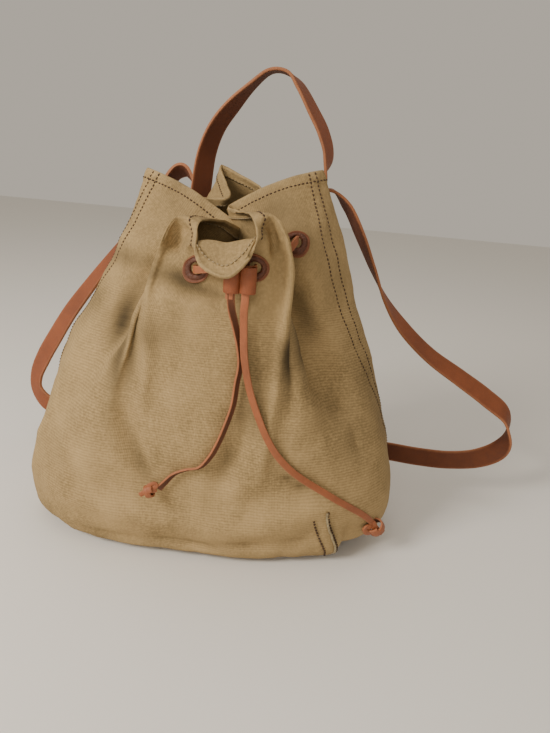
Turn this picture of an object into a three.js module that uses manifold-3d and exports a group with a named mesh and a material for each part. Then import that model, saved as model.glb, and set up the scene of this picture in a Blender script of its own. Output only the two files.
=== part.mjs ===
// Canvas bucket backpack with a laced, gathered mouth and leather straps.
// Millimetres, +Z up, front towards -Y. The origin is the middle of the base, on the ground.
import * as THREE from 'three';
import { mergeVertices } from 'three/addons/utils/BufferGeometryUtils.js';
import Module from 'manifold-3d';

const wasm = await Module();
wasm.setup();

// Driving sizes
const bagWidth = 360;
const bagDepth = 184;
const bagHeight = 350;
const clothWall = 2;
const clearance = 0.3;
const eyeletDiameter = 21;
const eyeletThickness = 2.4;
const eyeletHole = 10;
const laceWidth = 6;
const laceThickness = 2.2;
const keeperTube = 11;
const keeperHeight = 20;
const keeperWall = 2.4;
const knotWidth = 14;
const knotHeight = 20;
const strapWidth = 22;
const strapThickness = 3;
const strapReach = 330;
const handleRise = 130;
const handleSpan = 126;

// Colours from the real materials
const CANVAS = 0x96825c;
const STRAP_LEATHER = 0x8a4428;
const LACE_LEATHER = 0xc87050;
const EYELET_LEATHER = 0x9c4a34;

// How finely the cloth is faceted
const COLUMNS = 96;
const PROFILE_SAMPLES = 240;

// Body sections, lowest first. Height is a share of bagHeight, wide and deep are shares of
// bagWidth and bagDepth, round is the corner exponent, slide moves the section along X,
// turn is in degrees and gather says how far the ring takes the form of the laced ring.
const SECTIONS = [
  // height, wide, deep, round, slideX, turn, gather
  { height: 0.000, wide: 0.900, deep: 0.830, round: 2.4, slideX: -0.025, turn: 5.0, gather: 0.00 },
  { height: 0.025, wide: 0.985, deep: 0.930, round: 2.5, slideX: -0.025, turn: 5.0, gather: 0.00 },
  { height: 0.130, wide: 1.030, deep: 1.000, round: 2.6, slideX: -0.030, turn: 4.5, gather: 0.00 },
  { height: 0.290, wide: 0.990, deep: 1.020, round: 2.6, slideX: -0.036, turn: 3.5, gather: 0.02 },
  { height: 0.440, wide: 0.900, deep: 1.020, round: 2.5, slideX: -0.030, turn: 2.0, gather: 0.08 },
  { height: 0.580, wide: 0.780, deep: 1.000, round: 2.4, slideX: -0.018, turn: 1.0, gather: 0.20 },
  { height: 0.700, wide: 0.665, deep: 1.000, round: 2.4, slideX: -0.008, turn: 0.0, gather: 0.42 },
];

// Folds of the laced mouth, round the bag from the front centre towards +X. At is the place
// round the cloth. The cinch point lies on the lace line and the rim point on the top hem:
// X, Y and Z are shares of bagWidth, bagDepth and bagHeight. The crest lies between them, and
// is halfway where none is given. Eyelet marks a laced ring.
const FOLDS = [
  { name: 'lip_centre', at: 0.000, cinch: [0.056, -0.500, 0.754], crest: [0.058, -0.527, 0.826],
    rim: [0.067, -0.641, 0.786] },
  { name: 'lip_right', at: 0.030, cinch: [0.100, -0.500, 0.789], crest: [0.106, -0.533, 0.846],
    rim: [0.117, -0.609, 0.831] },
  { name: 'front_right', at: 0.055, cinch: [0.133, -0.489, 0.811], crest: [0.133, -0.500, 0.849],
    rim: [0.139, -0.538, 0.877], eyelet: 1 },
  { name: 'ear_right', at: 0.092, cinch: [0.184, -0.455, 0.830], rim: [0.141, -0.424, 0.917] },
  { name: 'ear_right_back', at: 0.125, cinch: [0.150, -0.337, 0.823], rim: [0.089, -0.293, 0.903], eyelet: 1 },
  { name: 'valley_right', at: 0.170, cinch: [0.050, -0.152, 0.811], rim: [0.002, -0.065, 0.914] },
  { name: 'wing_right', at: 0.215, cinch: [0.176, -0.225, 0.850], rim: [0.106, -0.043, 0.974], eyelet: 1 },
  { name: 'corner_right', at: 0.270, cinch: [0.290, 0.043, 0.823], rim: [0.212, 0.054, 1.010] },
  { name: 'wing_right_back', at: 0.320, cinch: [0.172, 0.261, 0.846], rim: [0.117, 0.141, 0.983], eyelet: 1 },
  { name: 'valley_right_back', at: 0.365, cinch: [0.067, 0.196, 0.834], rim: [0.032, 0.141, 0.954] },
  { name: 'back_right', at: 0.430, cinch: [0.094, 0.359, 0.846], rim: [0.033, 0.315, 0.960], eyelet: 1 },
  { name: 'back_centre', at: 0.500, cinch: [-0.028, 0.435, 0.846], rim: [-0.072, 0.370, 1.000] },
  { name: 'back_left', at: 0.565, cinch: [-0.144, 0.370, 0.834], rim: [-0.131, 0.304, 0.937], eyelet: 1 },
  { name: 'valley_left_back', at: 0.625, cinch: [-0.072, 0.185, 0.823], rim: [-0.028, 0.130, 0.931] },
  { name: 'wing_left_back', at: 0.680, cinch: [-0.172, 0.250, 0.829], rim: [-0.128, 0.141, 0.949], eyelet: 1 },
  { name: 'corner_left', at: 0.735, cinch: [-0.283, 0.033, 0.817], rim: [-0.228, 0.043, 0.980] },
  { name: 'wing_left', at: 0.790, cinch: [-0.167, -0.196, 0.811], rim: [-0.105, -0.043, 0.943], eyelet: 1 },
  { name: 'valley_left', at: 0.840, cinch: [-0.017, -0.185, 0.789], rim: [0.028, -0.152, 0.877] },
  { name: 'ear_left_back', at: 0.880, cinch: [-0.083, -0.326, 0.806], rim: [-0.033, -0.283, 0.894], eyelet: 1 },
  { name: 'ear_left', at: 0.912, cinch: [-0.128, -0.457, 0.811], rim: [-0.083, -0.413, 0.891] },
  { name: 'front_left', at: 0.950, cinch: [-0.050, -0.500, 0.800], crest: [-0.047, -0.511, 0.826],
    rim: [-0.042, -0.538, 0.851], eyelet: 1 },
  { name: 'lip_left', at: 0.975, cinch: [0.006, -0.511, 0.777], crest: [0.003, -0.527, 0.831],
    rim: [-0.003, -0.609, 0.811] },
];
const CINCH_HALF_WIDTH = 0.287;
const CINCH_HALF_DEPTH = 0.470;

// Steps up the cloth between neighbouring rows: sections, then the lace line and the rim
const STEPS = [1, 1, 1, 1, 1, 2, 2, 1, 2];

// Keeper: two leather tubes side by side, shares of bagWidth, bagDepth and bagHeight
const KEEPER = { at: [0.081, -0.572, 0.764] };

// Straps: each row is a point of the strap's middle line. X, Y and Z are shares of
// strapReach, bagDepth and bagHeight, and face gives the way the grain looks. A sewn row lies
// on the cloth instead: its two numbers are the places round and up the cloth.
const LEFT_STRAP = [
  { sewn: [0.616, 0.520] },
  { sewn: [0.616, 0.570] },
  { sewn: [0.614, 0.620] },
  { at: [-0.232, 0.455, 0.770], face: [-0.2, 1, 0] },
  { at: [-0.215, 0.515, 0.900], face: [0.4, 0.8, 0.2] },
  { at: [-0.208, 0.510, 0.960], face: [0.2, 0.2, 1] },
  { at: [-0.247, 0.515, 0.945], face: [-0.6, -0.2, 0.8] },
  { at: [-0.330, 0.520, 0.820], face: [-0.7, -0.4, 0.5] },
  { at: [-0.410, 0.520, 0.720], face: [-0.6, -0.6, 0.5] },
  { at: [-0.482, 0.533, 0.631], face: [-0.5, -0.7, 0.5] },
  { at: [-0.567, 0.565, 0.549], face: [-0.5, -0.8, 0.4] },
  { at: [-0.627, 0.587, 0.483], face: [-0.4, -0.9, 0.3] },
  { at: [-0.697, 0.598, 0.394], face: [-0.4, -0.9, 0.2] },
  { at: [-0.755, 0.598, 0.323], face: [-0.4, -0.9, 0.1] },
  { at: [-0.791, 0.571, 0.249], face: [-0.5, -0.9, 0] },
  { at: [-0.785, 0.543, 0.191], face: [-0.5, -0.9, 0] },
  { at: [-0.735, 0.520, 0.145], face: [-0.3, -1, 0] },
  { at: [-0.640, 0.535, 0.125], face: [-0.1, -1, 0] },
  { at: [-0.530, 0.545, 0.125], face: [0, -1, 0] },
  { sewn: [0.630, 0.222], side: -1 },
  { sewn: [0.615, 0.222], side: -1 },
  { sewn: [0.600, 0.222], side: -1 },
];
const RIGHT_STRAP = [
  { sewn: [0.370, 0.520] },
  { sewn: [0.370, 0.570] },
  { sewn: [0.374, 0.620] },
  { at: [0.290, 0.420, 0.780], face: [0.3, 1, 0] },
  { at: [0.285, 0.460, 0.890], face: [0.1, 0.9, 0.3] },
  { at: [0.275, 0.490, 0.951], face: [0.5, 0.3, 0.8] },
  { at: [0.305, 0.520, 0.914], face: [0.9, -0.1, 0.4] },
  { at: [0.352, 0.543, 0.829], face: [0.95, -0.1, 0.3] },
  { at: [0.403, 0.565, 0.737], face: [0.95, -0.2, 0.4] },
  { at: [0.461, 0.576, 0.640], face: [0.85, -0.3, 0.5] },
  { at: [0.533, 0.587, 0.557], face: [0.6, -0.5, 0.7] },
  { at: [0.633, 0.587, 0.477], face: [0.4, -0.6, 0.8] },
  { at: [0.745, 0.587, 0.414], face: [0.3, -0.7, 0.7] },
  { at: [0.845, 0.587, 0.357], face: [0.4, -0.8, 0.6] },
  { at: [0.918, 0.576, 0.306], face: [0.8, -0.6, 0.3] },
  { at: [0.932, 0.543, 0.256], face: [1, -0.2, -0.1] },
  { at: [0.912, 0.500, 0.205], face: [0.6, 0.7, -0.4] },
  { at: [0.848, 0.470, 0.172], face: [0.2, 1, -0.2] },
  { at: [0.752, 0.455, 0.154], face: [0, 1, 0] },
  { at: [0.648, 0.455, 0.150], face: [0, 1, 0] },
  { at: [0.540, 0.465, 0.152], face: [0, 1, 0] },
  { sewn: [0.372, 0.240] },
  { sewn: [0.386, 0.240] },
  { sewn: [0.400, 0.240] },
];

// Handle: across is a share of handleSpan, rise a share of handleRise above its feet, and
// deep a share of bagDepth.
const HANDLE = [
  { sewn: [0.560, 0.600] },
  { sewn: [0.560, 0.650] },
  { sewn: [0.562, 0.695] },
  { across: -0.405, deep: 0.435, rise: 0.140, face: [0, 1, 0] },
  { across: -0.365, deep: 0.435, rise: 0.408, face: [-0.4, 0.9, 0.2] },
  { across: -0.290, deep: 0.435, rise: 0.590, face: [-0.5, 0.7, 0.4] },
  { across: -0.180, deep: 0.435, rise: 0.735, face: [-0.6, 0.4, 0.6] },
  { across: -0.030, deep: 0.435, rise: 0.890, face: [-0.6, 0.1, 0.7] },
  { across: 0.090, deep: 0.435, rise: 0.985, face: [-0.4, 0, 0.9] },
  { across: 0.170, deep: 0.435, rise: 1.000, face: [0, 0, 1] },
  { across: 0.254, deep: 0.435, rise: 0.977, face: [0.5, 0, 0.9] },
  { across: 0.333, deep: 0.435, rise: 0.908, face: [0.8, 0, 0.6] },
  { across: 0.455, deep: 0.435, rise: 0.740, face: [0.9, 0, 0.4] },
  { across: 0.545, deep: 0.435, rise: 0.600, face: [0.9, 0.1, 0.3] },
  { across: 0.600, deep: 0.435, rise: 0.430, face: [1, 0.2, 0.1] },
  { across: 0.530, deep: 0.425, rise: 0.150, face: [0.5, 0.8, 0] },
  { sewn: [0.418, 0.695] },
  { sewn: [0.420, 0.650] },
  { sewn: [0.422, 0.600] },
];
const HANDLE_FOOT = 0.880;

// Free lace ends: points chosen by hand along each route, in millimetres, with the X part of
// the way the lace's face looks. Away is the way the knot lies past the last point.
const LEFT_TAIL = [
  [23.1, -105.2, 257.4, 0], [24, -102.5, 251, 0], [28, -99, 243, 0], [32, -97.6, 231, 0.1],
  [33, -96.6, 218, 0.1], [33, -96, 204, 0.1], [31, -95.6, 188, 0.1], [29, -96.2, 168, 0.1],
  [24, -96.6, 149, 0.1], [18, -96.8, 131, 0.1], [11.5, -97, 117, 0.1], [3, -97.5, 106.5, 0.1],
  [-8, -98, 103, 0.1], [-19, -98.6, 97, 0], [-27, -98.8, 87.5, 0], [-32.5, -99, 80.5, 0],
];
const RIGHT_TAIL = [
  [35.3, -105.2, 257.4, 0.1], [34.6, -103.5, 250, 0.1], [34.6, -101.4, 240, 0.1],
  [35, -100, 229, 0.1], [36, -99, 214, 0.1], [38.5, -97.6, 198, 0.1], [43, -95.4, 179, 0.15],
  [51.5, -93.6, 156, 0.15], [58.5, -92, 140, 0.2], [68, -89.6, 124, 0.25], [80.5, -86.6, 110, 0.3],
  [94, -82.6, 99, 0.35], [109, -76.8, 88, 0.4], [122, -71, 78, 0.45], [135, -64, 68, 0.5],
  [147, -55.8, 57.5, 0.6], [154.5, -50, 49.5, 0.7], [160, -44, 41.5, 0.75],
];
const TAILS = [
  { name: 'left', rows: LEFT_TAIL, away: [-0.62, -0.33, -0.71] },
  { name: 'right', rows: RIGHT_TAIL, away: [0.48, 0.44, -0.76] },
];

const vec = (p) => new THREE.Vector3(p[0], p[1], p[2]);

// Middle point of a superellipse section at a place round the cloth, by length
function sectionOutline(section) {
  const halfX = section.wide * bagWidth / 2;
  const halfY = section.deep * bagDepth / 2;
  const points = [];
  const lengths = [0];
  for (let i = 0; i <= PROFILE_SAMPLES; i += 1) {
    const angle = (i / PROFILE_SAMPLES) * 2 * Math.PI - Math.PI / 2;
    const c = Math.cos(angle);
    const s = Math.sin(angle);
    const reach = (Math.abs(c / halfX) ** section.round + Math.abs(s / halfY) ** section.round)
      ** (-1 / section.round);
    points.push([reach * c, reach * s]);
    if (i > 0) {
      const [x, y] = points[i - 1];
      lengths.push(lengths[i - 1] + Math.hypot(reach * c - x, reach * s - y));
    }
  }
  return { points, lengths };
}
const OUTLINES = SECTIONS.map(sectionOutline);

function outlinePoint(outline, at) {
  const wanted = at * outline.lengths[PROFILE_SAMPLES];
  let i = 1;
  while (i < PROFILE_SAMPLES && outline.lengths[i] < wanted) i += 1;
  const before = outline.lengths[i - 1];
  const share = (wanted - before) / (outline.lengths[i] - before);
  const [x0, y0] = outline.points[i - 1];
  const [x1, y1] = outline.points[i];
  return [x0 + (x1 - x0) * share, y0 + (y1 - y0) * share];
}

// The rings of the mouth as closed smooth curves through the folds
const bagPoint = (share) => new THREE.Vector3(
  share[0] * bagWidth, share[1] * bagDepth, share[2] * bagHeight);
const closedCurve = (points) => new THREE.CatmullRomCurve3(points, true, 'centripetal');
const halfway = (fold) => bagPoint(fold.cinch).lerp(bagPoint(fold.rim), 0.5);
const CINCH = closedCurve(FOLDS.map((fold) => bagPoint(fold.cinch)));
const CREST = closedCurve(FOLDS.map((fold) => (fold.crest ? bagPoint(fold.crest) : halfway(fold))));
const RIM = closedCurve(FOLDS.map((fold) => bagPoint(fold.rim)));

function foldIndex(at) {
  let i = FOLDS.length - 1;
  while (FOLDS[i].at > at) i -= 1;
  const next = i + 1 < FOLDS.length ? FOLDS[i + 1].at : 1;
  return (i + (at - FOLDS[i].at) / (next - FOLDS[i].at)) / FOLDS.length;
}

// The cloth's own curve from the base edge to the rim at one place round the bag
function clothColumn(place) {
  const at = ((place % 1) + 1) % 1;
  const cinch = CINCH.getPoint(foldIndex(at));
  const crest = CREST.getPoint(foldIndex(at));
  const rim = RIM.getPoint(foldIndex(at));
  const points = SECTIONS.map((section, i) => {
    const [x, y] = outlinePoint(OUTLINES[i], at);
    const gatherX = cinch.x * section.wide / (2 * CINCH_HALF_WIDTH);
    const gatherY = cinch.y * section.deep / (2 * CINCH_HALF_DEPTH);
    const mixX = x + (gatherX - x) * section.gather;
    const mixY = y + (gatherY - y) * section.gather;
    const turn = THREE.MathUtils.degToRad(section.turn);
    return new THREE.Vector3(
      mixX * Math.cos(turn) - mixY * Math.sin(turn) + section.slideX * bagWidth,
      mixX * Math.sin(turn) + mixY * Math.cos(turn),
      section.height * bagHeight);
  });
  points.push(cinch, crest, rim);
  return new THREE.CatmullRomCurve3(points, false, 'centripetal');
}

const ROW_SHARES = [0];
STEPS.forEach((steps, row) => {
  for (let k = 1; k <= steps; k += 1) ROW_SHARES.push((row + k / steps) / STEPS.length);
});
const CINCH_SHARE = (STEPS.length - 2) / STEPS.length;

// A point of the cloth's outer face and the way it looks there
function clothPoint(at, up) {
  const side = 0.002;
  const rise = 0.004;
  const column = clothColumn(at);
  const point = column.getPoint(up);
  const across = clothColumn(at + side).getPoint(up).sub(clothColumn(at - side).getPoint(up));
  const along = column.getPoint(Math.min(1, up + rise)).sub(column.getPoint(Math.max(0, up - rise)));
  const normal = across.cross(along).normalize();
  return { point, normal };
}

const GRID = ROW_SHARES.map((up) => Array.from({ length: COLUMNS }, (unused, i) =>
  clothPoint(i / COLUMNS, up)));

// A closed cloth shell between two distances from the outer face, with its base
function clothShell(outside, inside) {
  const positions = [];
  const ring = (row, distance, floor) => row.forEach(({ point, normal }) => {
    const p = point.clone().addScaledVector(normal, distance);
    positions.push(p.x, p.y, floor === undefined ? Math.max(p.z, -distance) : floor);
  });
  GRID.forEach((row, j) => ring(row, outside, j === 0 ? -outside : undefined));
  [...GRID].reverse().forEach((row, j) => ring(row, -inside, j === GRID.length - 1 ? inside : undefined));
  const rings = 2 * GRID.length;
  const middleX = SECTIONS[0].slideX * bagWidth;
  positions.push(middleX, 0, -outside, middleX, 0, inside);
  const index = [];
  for (let j = 0; j < rings - 1; j += 1) {
    for (let i = 0; i < COLUMNS; i += 1) {
      const next = (i + 1) % COLUMNS;
      const a = j * COLUMNS + i;
      const b = j * COLUMNS + next;
      const c = (j + 1) * COLUMNS + next;
      const d = (j + 1) * COLUMNS + i;
      index.push(a, b, c, a, c, d);
    }
  }
  const under = rings * COLUMNS;
  const top = (rings - 1) * COLUMNS;
  for (let i = 0; i < COLUMNS; i += 1) {
    const next = (i + 1) % COLUMNS;
    index.push(under, next, i, under + 1, top + i, top + next);
  }
  return closedGeometry(positions, index);
}

function closedGeometry(positions, index) {
  const geometry = new THREE.BufferGeometry();
  geometry.setAttribute('position', new THREE.Float32BufferAttribute(positions, 3));
  geometry.setIndex(index);
  return geometry;
}

// Geometry to solid and back, for cuts and joins
function solidOf(geometry) {
  const bare = geometry.clone();
  bare.deleteAttribute('normal');
  bare.deleteAttribute('uv');
  const merged = mergeVertices(bare, 1e-4);
  return new wasm.Manifold(new wasm.Mesh({
    numProp: 3,
    vertProperties: new Float32Array(merged.attributes.position.array),
    triVerts: new Uint32Array(merged.index.array),
  }));
}

// What is left of a piece beside the cloth, without slivers on the cloth's other side
function besideCloth(solid) {
  const parts = solid.subtract(clearOfCloth).decompose();
  return parts.reduce((largest, part) => (part.volume() > largest.volume() ? part : largest));
}

function geometryOf(solid) {
  const mesh = solid.getMesh();
  return closedGeometry(Array.from(mesh.vertProperties), Array.from(mesh.triVerts));
}

// A flat or oval band swept along points, its face turned the way each row says
function band(points, faces, width, thickness, steps, sides) {
  const curve = new THREE.CatmullRomCurve3(points, false, 'centripetal');
  const positions = [];
  const index = [];
  for (let j = 0; j <= steps; j += 1) {
    const share = j / steps;
    const middle = curve.getPoint(share);
    const tangent = curve.getTangent(share);
    const place = Math.min(share * (faces.length - 1), faces.length - 1.000001);
    const k = Math.floor(place);
    const face = faces[k].clone().lerp(faces[k + 1], place - k);
    face.addScaledVector(tangent, -face.dot(tangent)).normalize();
    const across = new THREE.Vector3().crossVectors(tangent, face);
    for (let i = 0; i < sides; i += 1) {
      const angle = ((i + 0.5) / sides) * 2 * Math.PI;
      const square = sides === 4 ? Math.SQRT2 : 1;
      const p = middle.clone()
        .addScaledVector(across, Math.cos(angle) * square * width / 2)
        .addScaledVector(face, Math.sin(angle) * square * thickness / 2);
      positions.push(p.x, p.y, p.z);
    }
  }
  for (let j = 0; j < steps; j += 1) {
    for (let i = 0; i < sides; i += 1) {
      const next = (i + 1) % sides;
      const a = j * sides + i;
      const b = j * sides + next;
      index.push(a, b + sides, b, a, a + sides, b + sides);
    }
  }
  for (let i = 1; i < sides - 1; i += 1) {
    index.push(0, i, i + 1);
    index.push(steps * sides, steps * sides + i + 1, steps * sides + i);
  }
  return closedGeometry(positions, index);
}

// The leather ring and the hole at one eyelet: both run along the cloth's own normal
const EYELETS = FOLDS.filter((fold) => fold.eyelet).map((fold) => ({
  at: fold.at, ...clothPoint(fold.at, CINCH_SHARE) }));
const EYELET_REACH = 14;
const EYELET_SIDES = 5;

function eyeletPlug(eyelet, outerRadius, innerRadius) {
  const shape = new THREE.Shape().absarc(0, 0, outerRadius, 0, 2 * Math.PI);
  if (innerRadius) shape.holes.push(new THREE.Path().absarc(0, 0, innerRadius, 0, 2 * Math.PI, true));
  const plug = new THREE.ExtrudeGeometry(shape, {
    depth: EYELET_REACH, bevelEnabled: false, curveSegments: EYELET_SIDES });
  plug.translate(0, 0, -EYELET_REACH / 2);
  plug.applyQuaternion(new THREE.Quaternion().setFromUnitVectors(
    new THREE.Vector3(0, 0, 1), eyelet.normal));
  plug.translate(eyelet.point.x, eyelet.point.y, eyelet.point.z);
  return solidOf(plug);
}

const clearOfCloth = solidOf(clothShell(clearance, clothWall + clearance));
const group = new THREE.Group();

function addPiece(name, geometry, color) {
  geometry.computeVertexNormals();
  const material = new THREE.MeshStandardMaterial({ color, roughness: 0.85, metalness: 0 });
  const mesh = new THREE.Mesh(geometry, material);
  mesh.name = name;
  group.add(mesh);
}

// Canvas body: one hollow shell with its base, open at the rim, with ten lace holes
let canvas = solidOf(clothShell(0, clothWall));
EYELETS.forEach((eyelet) => {
  canvas = canvas.subtract(eyeletPlug(eyelet, eyeletHole / 2));
});
addPiece('canvas_body', geometryOf(canvas), CANVAS);

// Eyelets: leather rings that follow the cloth they are sewn on
const eyeletLayer = solidOf(clothShell(clearance + eyeletThickness, -clearance));
EYELETS.forEach((eyelet, i) => {
  const ring = eyeletPlug(eyelet, eyeletDiameter / 2, eyeletHole / 2)
    .intersect(eyeletLayer).subtract(clearOfCloth);
  addPiece(`eyelet_${i + 1}`, geometryOf(ring), EYELET_LEATHER);
});

// Keeper: a figure of eight of leather whose two tubes hold the lace
const keeperAt = bagPoint(KEEPER.at);
const keeperPitch = keeperTube + keeperWall / 2;
const keeperShape = new THREE.Shape();
const keeperRadius = keeperTube / 2;
keeperShape.absarc(-keeperPitch / 2, 0, keeperRadius, Math.PI / 2, 3 * Math.PI / 2);
keeperShape.absarc(keeperPitch / 2, 0, keeperRadius, -Math.PI / 2, Math.PI / 2);
[-1, 1].forEach((side) => keeperShape.holes.push(new THREE.Path().absellipse(
  side * keeperPitch / 2, 0, laceWidth / 2 + clearance, laceThickness / 2 + clearance,
  0, 2 * Math.PI, true)));
const keeperGeometry = new THREE.ExtrudeGeometry(keeperShape, {
  depth: keeperHeight, bevelEnabled: false, curveSegments: 5 });
keeperGeometry.translate(keeperAt.x, keeperAt.y, keeperAt.z - keeperHeight / 2);
addPiece('cord_keeper', keeperGeometry, STRAP_LEATHER);

// Held lace: out of the keeper, in and out of every eyelet and back into the keeper
const LACE_STAND = 6.5;
const LANE_HEIGHTS = [-0.9, 0, 1, 1.35];
const eyeletSide = (i, side) => EYELETS[i].point.clone().addScaledVector(EYELETS[i].normal, side * LACE_STAND);
const laceLoop = [];
const keeperLane = (side, height) => new THREE.Vector3(
  keeperAt.x + side * keeperPitch / 2, keeperAt.y, keeperAt.z + height * keeperHeight / 2);
LANE_HEIGHTS.forEach((height) => laceLoop.push(keeperLane(1, height)));
EYELETS.forEach((eyelet, i) => {
  const first = i % 2 === 0 ? 1 : -1;
  laceLoop.push(eyeletSide(i, first), eyeletSide(i, -first));
});
[...LANE_HEIGHTS].reverse().forEach((height) => laceLoop.push(keeperLane(-1, height)));
const laceFaces = laceLoop.map((p) => new THREE.Vector3(0, -1, 0));
const LOOP_STEPS = 2 * (laceLoop.length - 1);
addPiece('drawstring_loop',
  band(laceLoop, laceFaces, laceWidth * 0.8, laceThickness, LOOP_STEPS, 6), LACE_LEATHER);

// Free ends: each lies on the front of the bag and ends in its knot, a rounded lump
const TAIL_STEPS = 28;
const KNOT_RINGS = 8;
const KNOT_SIDES = 10;
const KNOT_FLATNESS = 0.8;
TAILS.forEach(({ name, rows, away }) => {
  const points = rows.map(vec);
  const faces = rows.map((row) => new THREE.Vector3(row[3], -Math.sqrt(1 - row[3] ** 2), 0));
  const tail = band(points, faces, laceWidth, laceThickness, TAIL_STEPS, 8);
  addPiece(`lace_tail_${name}`, tail, LACE_LEATHER);
  const profile = [];
  for (let i = 0; i <= KNOT_RINGS; i += 1) {
    const angle = (i / KNOT_RINGS) * Math.PI - Math.PI / 2;
    profile.push(new THREE.Vector2(
      Math.cos(angle) * knotWidth / 2, Math.sin(angle) * knotHeight / 2));
  }
  const knot = new THREE.LatheGeometry(profile, KNOT_SIDES);
  const direction = vec(away).normalize();
  knot.scale(1, 1, KNOT_FLATNESS);
  knot.applyQuaternion(new THREE.Quaternion().setFromUnitVectors(new THREE.Vector3(0, 1, 0), direction));
  const middle = points[points.length - 1].clone().addScaledVector(direction, knotHeight / 2 + clearance);
  knot.translate(middle.x, middle.y, middle.z);
  addPiece(`lace_knot_${name}`, geometryOf(besideCloth(solidOf(knot))), LACE_LEATHER);
});

// Leather straps: flat bands whose sewn ends follow the back of the cloth
const SEAT_SINK = 0.8;
function addStrap(name, rows, freePoint, steps) {
  const points = [];
  const faces = [];
  rows.forEach((row) => {
    if (row.sewn) {
      const { point, normal } = clothPoint(...row.sewn);
      const stand = clearance + strapThickness / 2 - SEAT_SINK;
      points.push(point.clone().addScaledVector(normal, stand));
      faces.push(normal.clone().multiplyScalar(row.side ?? 1));
    } else {
      points.push(freePoint(row));
      faces.push(vec(row.face).normalize());
    }
  });
  const strap = band(points, faces, strapWidth, strapThickness, steps, 4);
  addPiece(name, geometryOf(besideCloth(solidOf(strap))), STRAP_LEATHER);
}
const strapPoint = (row) => new THREE.Vector3(
  row.at[0] * strapReach, row.at[1] * bagDepth, row.at[2] * bagHeight);
const handlePoint = (row) => new THREE.Vector3(
  row.across * handleSpan, row.deep * bagDepth, HANDLE_FOOT * bagHeight + row.rise * handleRise);
addStrap('shoulder_strap_left', LEFT_STRAP, strapPoint, 38);
addStrap('shoulder_strap_right', RIGHT_STRAP, strapPoint, 40);
addStrap('carry_handle', HANDLE, handlePoint, 32);

export default group;
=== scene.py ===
import math

import bmesh
import bpy
import numpy as np
from mathutils import Matrix, Vector


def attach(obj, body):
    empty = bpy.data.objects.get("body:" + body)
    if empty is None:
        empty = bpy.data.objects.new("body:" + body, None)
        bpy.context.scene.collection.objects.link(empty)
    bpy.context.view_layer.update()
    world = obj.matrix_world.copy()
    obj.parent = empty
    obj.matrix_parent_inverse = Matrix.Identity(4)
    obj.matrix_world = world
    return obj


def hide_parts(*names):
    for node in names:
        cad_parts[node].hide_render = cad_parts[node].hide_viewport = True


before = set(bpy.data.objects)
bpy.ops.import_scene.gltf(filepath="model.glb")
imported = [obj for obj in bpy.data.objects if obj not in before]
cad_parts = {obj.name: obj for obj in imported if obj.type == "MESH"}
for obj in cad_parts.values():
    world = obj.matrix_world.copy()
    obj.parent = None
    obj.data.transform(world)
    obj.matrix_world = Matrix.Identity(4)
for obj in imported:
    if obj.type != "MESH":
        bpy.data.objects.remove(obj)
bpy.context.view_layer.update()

bl_info = {
    "name": "Canvas bucket backpack",
    "version": (1, 0, 0),
    "blender": (4, 5, 0),
    "location": "View3D > Sidebar > Backpack",
    "description": "Dresses the packed backpack: waxed canvas, leather straps, lace and stitching",
    "category": "Object",
}

MM = 0.001

# The bag's own form, as in the part: shares of its width, depth and height
BAG_WIDTH = 0.360
BAG_DEPTH = 0.184
BAG_HEIGHT = 0.350
BAG = np.array([BAG_WIDTH, BAG_DEPTH, BAG_HEIGHT])
SECTION_COLUMNS = ("height", "wide", "deep", "round", "slide", "turn", "gather")
SECTIONS = (
    (0.000, 0.900, 0.820, 2.4, -0.025, 5.0, 0.00),
    (0.025, 0.985, 0.930, 2.5, -0.025, 5.0, 0.00),
    (0.130, 1.030, 1.000, 2.6, -0.030, 4.5, 0.00),
    (0.290, 0.990, 1.020, 2.6, -0.036, 3.5, 0.06),
    (0.440, 0.900, 1.020, 2.5, -0.030, 2.0, 0.19),
    (0.580, 0.780, 1.000, 2.4, -0.018, 1.0, 0.38),
    (0.700, 0.665, 1.000, 2.4, -0.008, 0.0, 0.62),
)
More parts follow.
